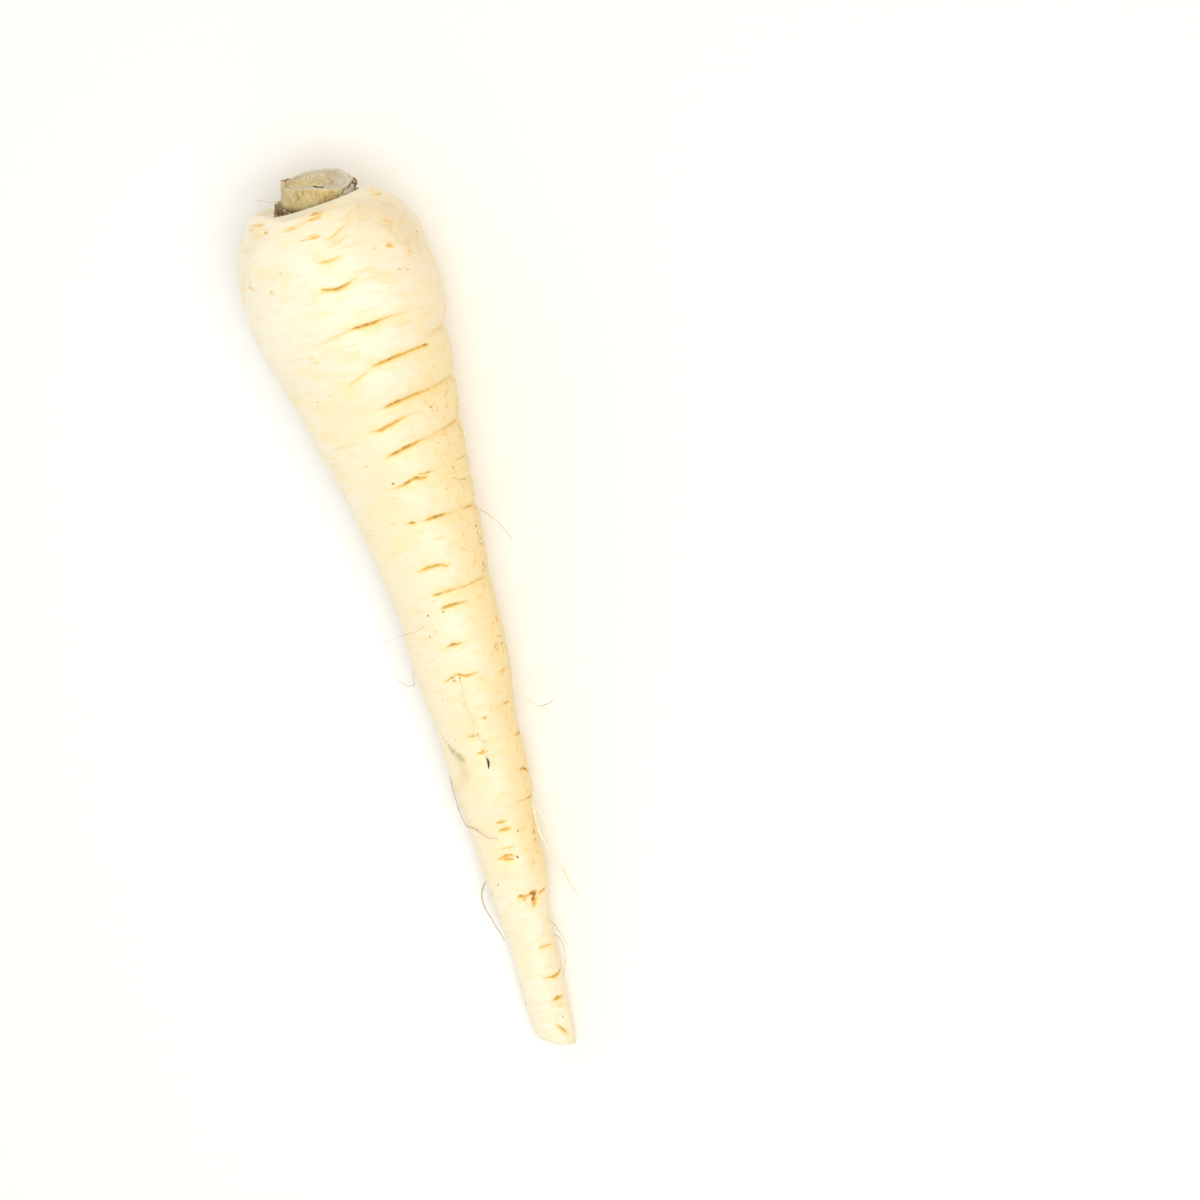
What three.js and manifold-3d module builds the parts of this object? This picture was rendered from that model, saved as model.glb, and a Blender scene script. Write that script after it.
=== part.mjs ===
// A parsnip laid on a table: one grown taproot with its rootlets, and the cut leaf stalks in its crown.
// Millimetres, +Z up, crown toward +Y, cut tip toward -Y, standing on z = 0.
import * as THREE from 'three';
import Module from 'manifold-3d';

const wasm = await Module();
wasm.setup();

// ---- Driving dimensions ----
const rootLength = 241; // from the crown's lip to the cut tip, along the root
const shoulderRadius = 26; // the widest part, a little below the crown
const shoulderStation = 21; // how far below the lip the shoulder is at its widest
const shoulderFullness = 2.03; // 2 would make the shoulder's outline a true ellipse
const crownRadius = 12.2; // the lip of the hollow that the leaf stalks grow from
const lipSink = 1.35; // how far the lip lies below the plane that stations are measured from
const hollowDepth = 6;
const tipRadius = 5.15;
const stubRadius = 9.2;
const stubHeight = 9.7; // leaf stalks, from the hollow's floor to their cut
const seatGap = 0.3; // between the stalks and the hollow they stand in
const restPitch = THREE.MathUtils.degToRad(5.52); // the thick crown end lies higher than the tip
const crownPlace = new THREE.Vector3(0.55, 117.6, 28.05); // the middle of the lip, with the root lying down
const sides = 38; // facets round the root

// A point of the root is given by its station (mm below the lip, along the root), its distance to the side
// (+ toward +X) and its distance above the root's axis.
function lying(side, station, above) {
  const cos = Math.cos(restPitch);
  const sin = Math.sin(restPitch);
  return new THREE.Vector3(
    crownPlace.x + side,
    crownPlace.y - station * cos - above * sin,
    crownPlace.z - station * sin + above * cos,
  );
}

// ---- Small tools: a smooth curve through rows, a fade, and a repeatable draw ----
// rows are [x, y0, y1, ...], with x rising; the curve passes through every row and has no kinks.
function smoothRow(rows, x, column) {
  const last = rows.length - 1;
  const slopes = (i) => (rows[i + 1][column] - rows[i][column]) / (rows[i + 1][0] - rows[i][0]);
  const tangent = (i) => {
    if (i === 0) return slopes(0);
    if (i === last) return slopes(last - 1);
    const before = rows[i][0] - rows[i - 1][0];
    const after = rows[i + 1][0] - rows[i][0];
    return (slopes(i - 1) * after + slopes(i) * before) / (before + after);
  };
  const at = THREE.MathUtils.clamp(x, rows[0][0], rows[last][0]);
  let i = 0;
  while (i < last - 1 && at > rows[i + 1][0]) i += 1;
  const width = rows[i + 1][0] - rows[i][0];
  const t = (at - rows[i][0]) / width;
  const fromStart = (1 + 2 * t) * (1 - t) ** 2 * rows[i][column] + t * (1 - t) ** 2 * width * tangent(i);
  const fromEnd = t * t * (3 - 2 * t) * rows[i + 1][column] - t * t * (1 - t) * width * tangent(i + 1);
  return fromStart + fromEnd;
}

const fade = (x, from, to) => THREE.MathUtils.smoothstep(x, from, to);

function drawFrom(seed) {
  let state = seed;
  return () => {
    state = (state * 1664525 + 1013904223) % 4294967296;
    return state / 4294967296;
  };
}

// The smallest turn from one angle to another, in degrees.
const turn = (from, to) => ((((to - from + 180) % 360) + 360) % 360) - 180;

// ---- The root's body: half width and sideways bend, by station ----
const bodyRows = [
  [shoulderStation, shoulderRadius, -1],
  [34, 25.6, -0.25],
  [40, 24.4, -0.1],
  [52, 22.1, 0.9],
  [60, 20.6, 1.2],
  [72, 18.4, 1.9],
  [80, 17.2, 2.5],
  [90, 15.9, 2.95],
  [100, 14.6, 3.1],
  [112, 13.5, 3.3],
  [133, 12.6, 2.9],
  [139, 11.9, 2.7],
  [147, 11, 2.35],
  [158, 10.8, 2.2],
  [168, 10.35, 2.2],
  [174, 9.25, 1.6],
  [190, 8.65, 1.6],
  [197, 8.2, 1.3],
  [203, 7.0, 0.7],
  [212, 6.35, 0.8],
  [221, 6.25, 0.7],
  [228, 5.9, 0.15],
  [rootLength, tipRadius, -0.1],
];

// ---- Creases ----
// A crease is a shallow groove part of the way round, with the flesh swelling between it and the next.
// [station, angle of its middle, reach to each side, depth, slant]: angles in degrees from straight up,
// positive toward +X; slant is how much further from the crown its +X end is than its middle, in mm.
const grownCreases = [
  [22.3, 6, 16, 0.3, -0.8],
  [33.5, 10, 40, 0.45, 0],
  [43.8, 24, 34, 0.6, -0.6],
  [41.5, 86, 44, 1.3, 0.5],
  [55, 58, 76, 1.7, -0.9],
  [60.4, 18, 36, 0.5, -1.6],
  [66.7, 56, 70, 1.6, -1.6],
  [76.4, 30, 44, 0.6, -0.9],
  [76.3, 84, 30, 0.5, 0],
  [81.4, 76, 40, 0.6, 1],
  [88.6, 54, 72, 1.3, 0.7],
  [101, 0, 20, 0.35, 0],
  [109, 56, 74, 1.3, 0],
  [112.8, 24, 34, 0.4, 0],
  [122.9, 2, 24, 0.35, -0.7],
  [131.9, -3, 20, 0.5, 0],
  [143.4, 54, 26, 0.35, 0.3],
  [148.2, -8, 15, 0.25, 0],
  [153.4, 30, 55, 0.25, 0],
  [163, 72, 46, 1.15, 0],
  [171.2, 52, 40, 0.5, 0.5],
  [174.4, 7, 18, 0.35, 0],
  [176.5, 7, 18, 0.3, 0],
  [184.3, -5, 24, 0.45, 0],
  [196.4, 26, 40, 0.35, 0],
  [198.2, 22, 58, 0.7, 0],
  [212.3, 43, 42, 0.35, 0.5],
  [220.8, 45, 50, 0.5, 0.6],
  [227.4, 42, 38, 0.3, 0.5],
  [236.4, 36, 24, 0.35, 2.4],
];

// Rootlets break out along rows that run down the root, so most creases cross one of those rows.
// The rows underneath and on the far side:
function hiddenCreases() {
  const draw = drawFrom(23);
  const found = [];
  for (const row of [-176, -128]) {
    let station = 27 + 9 * draw();
    while (station < 232) {
      const middle = row + 26 * (draw() - 0.5);
      const reach = 18 + 24 * draw();
      const depth = 0.3 + 0.5 * draw();
      const slant = 2.4 * (draw() - 0.5);
      found.push([station, middle, reach, depth * (station > 150 ? 0.7 : 1), slant]);
      station += 6 + 10 * draw();
    }
  }
  return found;
}
const creases = [...grownCreases, ...hiddenCreases()];

// How far the skin stands in from its smooth form because of the creases.
function creaseDepth(station, degrees) {
  let depth = 0;
  for (const [at, middle, reach, deep, slant] of creases) {
    const round = turn(middle, degrees) / reach;
    if (Math.abs(round) >= 1) continue;
    const offset = station - at - slant * round;
    const groove = Math.exp(0.45 - Math.hypot(offset, 0.45) / 1.0);
    const valley = Math.exp(-((offset / 4.2) ** 2));
    depth += deep * (1 - round * round) ** 1.5 * (0.72 * groove + 0.28 * valley);
  }
  return depth;
}

// Slow swellings, so that no section is a true circle.
function swelling(station, angle, radius) {
  const oval = 0.012 * Math.cos(2 * angle + 0.9 + station / 60);
  const threefold = 0.009 * Math.cos(3 * angle - station / 37);
  const uneven = 0.006 * Math.sin(station / 5.3 + 1.6 * Math.sin(angle + 0.4)) * Math.cos(angle - 1.1);
  return radius * (oval + threefold + uneven);
}

// The lip's plane lies a little lower on the -X side and on top. Outside it the shoulder rises to a low
// crest on the -X side, and falls away sooner on the +X side. The tip is cut on a slant.
function leaning(station, side, above) {
  const lip = (1 - fade(station, 0.2, 3.5)) * (lipSink - 0.061 * side + 0.022 * above);
  const crest = 2.5 * fade(-side, 6, 15) * fade(station, 0.1, 0.9) * (1 - fade(station, 1.2, 3.8));
  const slope = 0.06 * Math.max(0, side) * fade(station, 0, 2) * (1 - fade(station, 5, 14));
  const tip = fade(station, 226, rootLength - 1.5) * (0.5 * side - 0.12 * above);
  return station + lip - crest + slope + tip;
}

// ---- A closed skin over rings of points, with a point at each end ----
function skin(first, rings, end) {
  const count = rings[0].length;
  const points = [first, ...rings.flat(), end];
  const lastPoint = points.length - 1;
  const faces = [];
  const id = (ring, j) => 1 + ring * count + ((j + count) % count);
  for (let j = 0; j < count; j += 1) {
    faces.push(0, id(0, j), id(0, j + 1));
    for (let ring = 0; ring + 1 < rings.length; ring += 1) {
      faces.push(id(ring, j), id(ring + 1, j), id(ring, j + 1));
      faces.push(id(ring, j + 1), id(ring + 1, j), id(ring + 1, j + 1));
    }
    faces.push(id(rings.length - 1, j), lastPoint, id(rings.length - 1, j + 1));
  }
  return { points, faces };
}

function solidOf({ points, faces }) {
  const vertProperties = new Float32Array(points.flatMap((p) => [p.x, p.y, p.z]));
  const triVerts = new Uint32Array(faces);
  const solid = new wasm.Manifold(new wasm.Mesh({ numProp: 3, vertProperties, triVerts }));
  if (solid.volume() > 0) return solid;
  return new wasm.Manifold(new wasm.Mesh({ numProp: 3, vertProperties, triVerts: triVerts.reverse() }));
}

function boxSolid(width, depth, height, centre) {
  const box = new THREE.BoxGeometry(width, depth, height).translate(centre.x, centre.y, centre.z);
  const place = box.getAttribute('position');
  const corners = [];
  const faces = [];
  for (const i of box.index.array) {
    const p = new THREE.Vector3().fromBufferAttribute(place, i);
    let k = corners.findIndex((q) => q.distanceTo(p) < 1e-6);
    if (k < 0) k = corners.push(p) - 1;
    faces.push(k);
  }
  return solidOf({ points: corners, faces });
}

function meshOf(solid, name, colour, roughness) {
  const { vertProperties, triVerts } = solid.getMesh();
  const geometry = new THREE.BufferGeometry();
  geometry.setAttribute('position', new THREE.BufferAttribute(new Float32Array(vertProperties), 3));
  geometry.setIndex(new THREE.BufferAttribute(new Uint32Array(triVerts), 1));
  geometry.computeVertexNormals();
  const mesh = new THREE.Mesh(
    geometry,
    new THREE.MeshStandardMaterial({ color: colour, roughness, metalness: 0 }),
  );
  mesh.name = name;
  return mesh;
}

// ---- The taproot ----
function rootPoint(station, radius, angle, relief) {
  const bend = smoothRow(bodyRows, station, 2);
  let reach = radius;
  if (relief > 0) {
    const lift = swelling(station, angle, radius) - creaseDepth(station, THREE.MathUtils.radToDeg(angle));
    reach += relief * lift;
  }
  const side = reach * Math.sin(angle);
  const above = reach * Math.cos(angle);
  return lying(bend + side, leaning(station, side, above), above);
}

function rootRing(station, radius, relief) {
  const ring = [];
  for (let j = 0; j < sides; j += 1) {
    ring.push(rootPoint(station, radius, (2 * Math.PI * j) / sides, relief));
  }
  return ring;
}

// The shoulder is a quarter of a squarish ellipse, from the lip out to the widest part.
function shoulderRings(steps) {
  const rings = [];
  const power = 2 / shoulderFullness;
  for (let i = 0; i < steps; i += 1) {
    const turned = (Math.PI / 2) * (1 - i / steps);
    const radius = crownRadius + (shoulderRadius - crownRadius) * Math.cos(turned) ** power;
    const station = shoulderStation * (1 - Math.sin(turned) ** power);
    rings.push(rootRing(station, radius, fade(station, 0, 9)));
  }
  return rings;
}

// Inside the lip, a rounded edge leads down to the floor of the hollow.
function hollowRings() {
  const lip = 0.7;
  const rings = [
    rootRing(hollowDepth - 0.1, 0.55 * crownRadius, 0),
    rootRing(hollowDepth - 0.7, crownRadius - 2.1, 0),
    rootRing(hollowDepth - 2.2, crownRadius - 1, 0),
  ];
  for (const turned of [0, Math.PI / 6, Math.PI / 3]) {
    rings.push(rootRing(lip * (1 - Math.sin(turned)), crownRadius - lip * Math.cos(turned), 0));
  }
  return rings;
}

// Rings run close together at each deep crease and further apart where the skin is smooth.
function bodyStations() {
  const wanted = [];
  for (const [at, , , deep] of creases) {
    if (deep > 0.4) wanted.push(at - 1.6, at, at + 1.6);
  }
  wanted.sort((a, b) => a - b);
  const stations = [shoulderStation];
  const end = rootLength - 1;
  for (const next of [...wanted, end]) {
    const last = stations[stations.length - 1];
    if (next > end || next - last < 0.9) continue;
    const steps = Math.ceil((next - last) / 4);
    for (let k = 1; k <= steps; k += 1) stations.push(last + ((next - last) * k) / steps);
  }
  return stations;
}

function taprootSkin() {
  const rings = [...hollowRings(), ...shoulderRings(9)];
  for (const station of bodyStations()) {
    rings.push(rootRing(station, smoothRow(bodyRows, station, 1), 1));
  }
  rings.push(rootRing(rootLength - 0.3, tipRadius - 0.6, 0.6));
  rings.push(rootRing(rootLength, tipRadius * 0.6, 0.3));
  return skin(rootPoint(hollowDepth, 0, 0, 0), rings, rootPoint(rootLength + 0.1, 0, 0, 0));
}

// ---- Rootlets: tapering threads with few sides, each starting inside the flesh ----
// Points are [side, station, above].
const rootlets = [
  {
    from: 0.5,
    to: 0.3,
    path: [
      [8.4, 171.6, -1], [10.9, 174, 0.2], [10.8, 180, 1],
      [12.2, 187, 2], [14.6, 194, 3], [16.4, 202, 2.4],
    ],
  },
  {
    from: 0.42,
    to: 0.3,
    path: [[8.6, 172.4, 0.4], [11.9, 175, 1.6], [12.8, 179, 2.2], [12, 184.5, 2.8]],
  },
  {
    from: 0.45,
    to: 0.3,
    path: [
      [11.6, 137, 1], [15, 140, 0.8], [17.6, 144.9, 1.4],
      [20.2, 147.6, 2], [23, 149.4, 2.2],
    ],
  },
  {
    from: 0.4,
    to: 0.3,
    path: [
      [-5.4, 190, 1], [-8.2, 193, 1.4], [-9.2, 196.5, 1.6],
      [-8.2, 201.6, 1.6], [-6.4, 209, 0.6],
    ],
  },
  {
    from: 0.45,
    to: 0.35,
    path: [[1.5, 131.9, 10.5], [1.6, 134.5, 12.6], [2.2, 145, 11.8], [3.6, 156.5, 11]],
  },
  {
    from: 0.45,
    to: 0.3,
    path: [[-4, 118, -10.5], [-6.4, 121, -12.4], [-7.6, 126, -12.2], [-8, 132, -10.6]],
  },
  {
    from: 0.45,
    to: 0.3,
    path: [[-9, 72, -12.5], [-11, 76, -15.4], [-11.4, 82, -13.6], [-10.6, 90, -11.6]],
  },
  {
    from: 0.4,
    to: 0.3,
    path: [[6.5, 152, -7.5], [8.6, 155, -9.6], [9.4, 160, -9.4], [9.2, 167, -8.8]],
  },
];

function rootletSkin({ from, to, path }) {
  const corners = 5;
  const places = path.map(([side, station, above]) => lying(side, station, above));
  const curve = new THREE.CatmullRomCurve3(places);
  const steps = 3 * (path.length - 1);
  const frames = curve.computeFrenetFrames(steps, false);
  const rings = [];
  for (let i = 0; i <= steps; i += 1) {
    const centre = curve.getPoint(i / steps);
    const radius = THREE.MathUtils.lerp(from, to, i / steps);
    const ring = [];
    for (let j = 0; j < corners; j += 1) {
      const angle = (2 * Math.PI * j) / corners;
      const out = frames.normals[i].clone().multiplyScalar(Math.cos(angle));
      out.addScaledVector(frames.binormals[i], Math.sin(angle));
      ring.push(centre.clone().addScaledVector(out, radius));
    }
    rings.push(ring);
  }
  return skin(curve.getPoint(0), rings, curve.getPoint(1));
}

function taproot() {
  let solid = solidOf(taprootSkin());
  for (const rootlet of rootlets) solid = solid.add(solidOf(rootletSkin(rootlet)));
  // The root lies on two low flats, one under the shoulder and one under the tip.
  const table = boxSolid(400, 600, 100, new THREE.Vector3(0, 0, -50));
  return solid.subtract(table);
}

// ---- The cut leaf stalks ----
// They grow from the hollow and lean to the side and upward; the cut shows them ring within ring.
const stubLean = { side: THREE.MathUtils.degToRad(13.5), up: THREE.MathUtils.degToRad(10.5) };
const cutLean = { side: THREE.MathUtils.degToRad(12.5), up: THREE.MathUtils.degToRad(14.9) };
const stubShift = -1.4; // the stalks stand a little to the -X side of the hollow's middle

// The cut is not flat: it stands proud on top and low down at +X, and dips low down at -X.
function cutWave(radius, angle) {
  const at = THREE.MathUtils.radToDeg(angle);
  const top = 0.95 * Math.exp(-((turn(-8, at) / 30) ** 2));
  const low = 0.8 * Math.exp(-((turn(138, at) / 35) ** 2)) - 0.9 * Math.exp(-((turn(-130, at) / 32) ** 2));
  return (radius / stubRadius) * (top + low);
}

function stubPoint(height, radius, angle) {
  const side = radius * Math.sin(angle);
  const above = radius * Math.cos(angle);
  const seated = leaning(hollowDepth, side, above) - hollowDepth;
  const leant = side * Math.sin(cutLean.side) + above * Math.sin(cutLean.up);
  const tilt = THREE.MathUtils.lerp(seated, leant, fade(height, 0.5, 4.5));
  const drift = Math.max(0, height - 1);
  return lying(
    stubShift + side + drift * Math.tan(stubLean.side),
    hollowDepth - seatGap - height - fade(height, 4, stubHeight) * cutWave(radius, angle) + tilt,
    above + drift * Math.tan(stubLean.up),
  );
}

function stubRing(height, radius, lobes) {
  const ring = [];
  for (let j = 0; j < sides; j += 1) {
    const angle = (2 * Math.PI * j) / sides;
    const oldBase = 0.5 * Math.exp(-((turn(-72, THREE.MathUtils.radToDeg(angle)) / 26) ** 2));
    const foot = oldBase * (1 - fade(height, 3, 6.2)) * fade(height, 0.6, 2);
    const ribbed = 0.22 * Math.cos(7 * angle + 0.6) + 0.14 * Math.cos(4 * angle - 1);
    ring.push(stubPoint(height, radius + lobes * (ribbed + foot), angle));
  }
  return ring;
}

function stub() {
  const cut = stubHeight;
  const rows = [
    [0.12, 5.5, 0],
    [0.55, 8.4, 0.3],
    [1.5, 9.2, 1],
    [3, stubRadius + 0.2, 1],
    [5, stubRadius, 1],
    [7, stubRadius - 0.1, 1],
    [cut - 0.5, stubRadius, 1],
    [cut, stubRadius - 0.5, 1],
    [cut - 0.1, stubRadius - 1.2, 0.8],
    [cut - 0.55, stubRadius - 1.9, 0.8],
    [cut - 0.15, stubRadius - 2.7, 0.6],
    [cut - 0.05, stubRadius - 4.2, 0.6],
    [cut - 0.45, stubRadius - 5, 0.4],
    [cut - 0.1, stubRadius - 5.9, 0.3],
    [cut - 0.2, stubRadius - 7.6, 0.2],
  ];
  const rings = rows.map(([height, radius, lobes]) => stubRing(height, radius, lobes));
  return solidOf(skin(stubPoint(0, 0, 0), rings, stubPoint(cut - 0.35, 0, 0)));
}

const parsnip = new THREE.Group();
parsnip.add(meshOf(taproot(), 'taproot', 0xf6e9c4, 0.55));
parsnip.add(meshOf(stub(), 'leaf_stalk_stub', 0xb5a673, 0.85));

export default parsnip;
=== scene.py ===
import math

import bmesh
import bpy
import numpy as np
from mathutils import Matrix, Vector, noise


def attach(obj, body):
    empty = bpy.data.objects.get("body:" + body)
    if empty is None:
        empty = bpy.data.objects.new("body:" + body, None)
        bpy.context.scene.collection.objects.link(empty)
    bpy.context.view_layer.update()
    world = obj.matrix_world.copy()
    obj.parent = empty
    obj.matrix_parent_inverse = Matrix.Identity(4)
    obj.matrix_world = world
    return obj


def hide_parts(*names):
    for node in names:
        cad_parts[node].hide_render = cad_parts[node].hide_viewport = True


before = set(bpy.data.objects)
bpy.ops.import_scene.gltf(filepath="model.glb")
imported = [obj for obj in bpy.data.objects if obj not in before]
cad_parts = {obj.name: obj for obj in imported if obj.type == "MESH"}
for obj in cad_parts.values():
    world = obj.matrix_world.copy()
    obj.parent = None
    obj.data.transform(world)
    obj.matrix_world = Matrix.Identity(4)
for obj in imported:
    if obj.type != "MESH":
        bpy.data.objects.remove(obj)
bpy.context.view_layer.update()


# ---- The camera ----
# It looks almost straight down on the table from 0.9 m, turned so that the root lies slantwise with its crown at the
# upper left, and it leans 6 degrees towards the crown, so that the cut across the leaf stalks shows.
mm = 0.001
camera_turn = math.radians(15.03)
camera_lean = math.radians(6)
camera_distance = 914.4 * mm
looked_at = Vector((43.62, -7.44, 0)) * mm

to_right = Vector((math.cos(camera_turn), -math.sin(camera_turn), 0))
to_crown = Vector((math.sin(camera_turn), math.cos(camera_turn), 0))
to_camera = math.sin(camera_lean) * to_crown + math.cos(camera_lean) * Vector((0, 0, 1))
turned = Matrix((to_right, to_camera.cross(to_right), to_camera)).transposed().to_4x4()

camera_data = bpy.data.cameras.new("camera")
camera_data.sensor_width = 36
camera_data.lens = 100
camera_data.clip_start = 0.01
camera = bpy.data.objects.new("camera", camera_data)
camera.matrix_world = Matrix.Translation(looked_at + camera_distance * to_camera) @ turned
bpy.context.collection.objects.link(camera)
bpy.context.scene.camera = camera
bpy.context.scene.view_settings.view_transform = "Standard"


# ---- The table and the light ----
# A wide sheet of matt white board lies under the root. A big soft box hangs over it, and the walls all round are
# pale, with a warmer one on the root's creased side.
class Shade:
    """A value or a colour inside a material: what comes out of one of its nodes."""

    def __init__(self, tree, socket):
        self.tree = tree
        self.socket = socket

    def math(self, operation, *others):
        return node(self.tree, "Math", dict(enumerate([self, *others])), operation=operation)

    def __add__(self, other):
        return self.math("ADD", other)

    def __sub__(self, other):
        return self.math("SUBTRACT", other)

    def __mul__(self, other):
        return self.math("MULTIPLY", other)

    def __truediv__(self, other):
        return self.math("DIVIDE", other)

    def __abs__(self):
        return self.math("ABSOLUTE")

    def ramp(self, start, end, low=0.0, high=1.0):
        """Runs smoothly from low, where this value is start, to high, where it is end."""
        sockets = {"Value": self, "From Min": start, "From Max": end, "To Min": low, "To Max": high}
        return node(self.tree, "MapRange", sockets, interpolation_type="SMOOTHSTEP")

    def tint(self, plain, stained):
        """The plain colour, with this value's share of the stained one laid over it."""
        plain, stained = (c if isinstance(c, Shade) else (*c, 1) for c in (plain, stained))
        return node(self.tree, "Mix", {0: self, 6: plain, 7: stained}, out=2, data_type="RGBA", clamp_factor=True)


def node(tree, kind, sockets, out=0, **settings):
    """One node of a material, with its settings and its sockets, which take plain values or shades."""
    made = tree.nodes.new("ShaderNode" + kind)
    for name, value in settings.items():
        setattr(made, name, value)
    for name, value in sockets.items():
        if isinstance(value, Shade):
            tree.links.new(value.socket, made.inputs[name])
        else:
            made.inputs[name].default_value = value
    return Shade(tree, made.outputs[out])


def finish(name, build):
    """A material whose surface is made by build, which gets the node tree and gives back the surface's sockets."""
    material = bpy.data.materials.new(name)
    material.use_nodes = True
    tree = material.node_tree
    tree.nodes.clear()
    surface = node(tree, "BsdfPrincipled", build(tree))
    tree.links.new(surface.socket, tree.nodes.new("ShaderNodeOutputMaterial").inputs["Surface"])
    return material


def speckle(tree, size, stretch=(1, 1, 1), detail=3.0, roughness=0.55):
    """Grain about size metres across, drawn out along each axis by stretch."""
    place = node(tree, "TexCoord", {}, out="Object")
    scale = [1 / (size * s) for s in stretch]
    placed = node(tree, "Mapping", {"Vector": place, "Scale": scale})
    return node(tree, "TexNoise", {"Vector": placed, "Scale": 1.0, "Detail": detail, "Roughness": roughness})


def board(tree):
    grain = speckle(tree, 0.004)
    return {
        "Base Color": grain.tint((0.92, 0.93, 0.95), (0.94, 0.95, 0.97)),
        "Roughness": grain.ramp(0.3, 0.7, 0.85, 0.95),
        "Normal": node(tree, "Bump", {"Strength": 0.05, "Distance": 0.2 * mm, "Height": grain}),
    }


table_size = 3.0
table_top = -0.1 * mm
table_mesh = bpy.data.meshes.new("table")
corners = [(x * table_size / 2, y * table_size / 2, table_top) for x, y in ((-1, -1), (1, -1), (1, 1), (-1, 1))]
table_mesh.from_pydata(corners, [], [(0, 1, 2, 3)])
table_mesh.materials.append(finish("white_board", board))
table = bpy.data.objects.new("table", table_mesh)
bpy.context.collection.objects.link(table)


def soft_box(name, place, size, watts, colour):
    """A square lamp that faces the middle of the table."""
    lamp = bpy.data.lights.new(name, "AREA")
    lamp.shape = "SQUARE"
    lamp.size = size
    lamp.energy = watts
    lamp.color = colour
    hung = bpy.data.objects.new(name, lamp)
    hung.location = place
    hung.rotation_euler = Vector(place).to_track_quat("Z", "Y").to_euler()
    bpy.context.collection.objects.link(hung)


soft_box("overhead_box", (0.15, -0.1, 1.1), 0.8, 7.4, (1, 1, 0.985))

room = bpy.data.worlds.new("room")
room.use_nodes = True
walls = room.node_tree
walls.nodes.clear()
toward = node(walls, "TexCoord", {}, out="Generated")
sideways = node(walls, "SeparateXYZ", {"Vector": toward}, out="X")
endways = node(walls, "SeparateXYZ", {"Vector": toward}, out="Y")
wall_colour = sideways.ramp(-0.3, 0.45).tint((1, 1, 0.99), (0.76, 0.60, 0.35))
wall_light = node(walls, "Background", {"Color": wall_colour, "Strength": endways.ramp(0.1, 0.8, 0.70, 1.0)})
walls.links.new(wall_light.socket, walls.nodes.new("ShaderNodeOutputWorld").inputs["Surface"])
bpy.context.scene.world = room


# ---- The taproot ----
# One grown root: a thin waxy cream skin over dense flesh, widest a little below the hollow crown, bent a little to
# one side, and cut off at its tip. It lies on a small flat under the shoulder and another under the tip.
root_length = 241  # mm, as every size here is until the mesh is made
shoulder_radius = 26
shoulder_station = 21
shoulder_fullness = 2.03
crown_radius = 12.2
lip_sink = 1.35
hollow_depth = 6
lip_round = 0.7
tip_radius = 5.15
rest_pitch = math.radians(5.52)
crown_place = np.array([0.55, 117.6, 28.05])

# Station (mm below the crown's lip), half width, and how far the root has bent to the side.
body_rows = [
    [shoulder_station, shoulder_radius, -1], [34, 25.6, -0.25], [40, 24.4, -0.1], [52, 22.1, 0.9], [60, 20.6, 1.2],
    [72, 18.4, 1.9], [80, 17.2, 2.5], [90, 15.9, 2.95], [100, 14.6, 3.1], [112, 13.5, 3.3], [133, 12.6, 2.9],
    [139, 11.9, 2.7], [147, 11, 2.35], [158, 10.8, 2.2], [168, 10.35, 2.2], [174, 9.25, 1.6], [190, 8.65, 1.6],
    [197, 8.2, 1.3], [203, 7.0, 0.7], [212, 6.35, 0.8], [221, 6.25, 0.7], [228, 5.9, 0.15],
    [root_length, tip_radius, -0.1],
]


def lying(side, station, above):
    """A point of the root as it lies, from its distances to the side, along and above the root's own axis."""
    cos, sin = math.cos(rest_pitch), math.sin(rest_pitch)
    place = [side, -station * cos - above * sin, -station * sin + above * cos]
    return crown_place + np.stack(np.broadcast_arrays(*place), axis=-1)


def smooth_row(rows, x, column):
    """The smooth curve through one column of the rows, read at x."""
    table_of = np.array(rows, float)
    xs, ys = table_of[:, 0], table_of[:, column]
    steps = np.diff(xs)
    slopes = np.diff(ys) / steps
    middle = (slopes[:-1] * steps[1:] + slopes[1:] * steps[:-1]) / (steps[:-1] + steps[1:])
    tangents = np.concatenate([slopes[:1], middle, slopes[-1:]])
    at = np.clip(x, xs[0], xs[-1])
    i = np.clip(np.searchsorted(xs, at) - 1, 0, len(xs) - 2)
    t = (at - xs[i]) / steps[i]
    from_start = (1 + 2 * t) * (1 - t) ** 2 * ys[i] + t * (1 - t) ** 2 * steps[i] * tangents[i]
    from_end = t * t * (3 - 2 * t) * ys[i + 1] - t * t * (1 - t) * steps[i] * tangents[i + 1]
    return from_start + from_end


def fade(x, start, end):
    """Runs smoothly from 0, where x is start, to 1, where it is end."""
    t = np.clip((x - start) / (end - start), 0, 1)
    return t * t * (3 - 2 * t)


def bell(distance, width, steepness=2):
    """1 where the distance is 0, and fading to nothing past the width."""
    return np.exp(-((distance / width) ** steepness))


def turn(start, end):
    """The smallest turn from one angle to another, in degrees."""
    return (end - start + 180) % 360 - 180


def leaning(station, side, above):
    """The lip's plane lies a little lower on the -X side and on top. Outside it the shoulder rises to a low crest on
    the -X side, and falls away sooner on the +X side. The tip is cut on a slant."""
    lip = (1 - fade(station, 0.2, 3.5)) * (lip_sink - 0.061 * side + 0.022 * above)
    crest = 2.5 * fade(-side, 6, 15) * fade(station, 0.1, 0.9) * (1 - fade(station, 1.2, 3.8))
    slope = 0.06 * np.maximum(0, side) * fade(station, 0, 2) * (1 - fade(station, 5, 14))
    tip = fade(station, 226, root_length - 1.5) * (0.5 * side - 0.12 * above)
    return station + lip - crest + slope + tip


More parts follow.
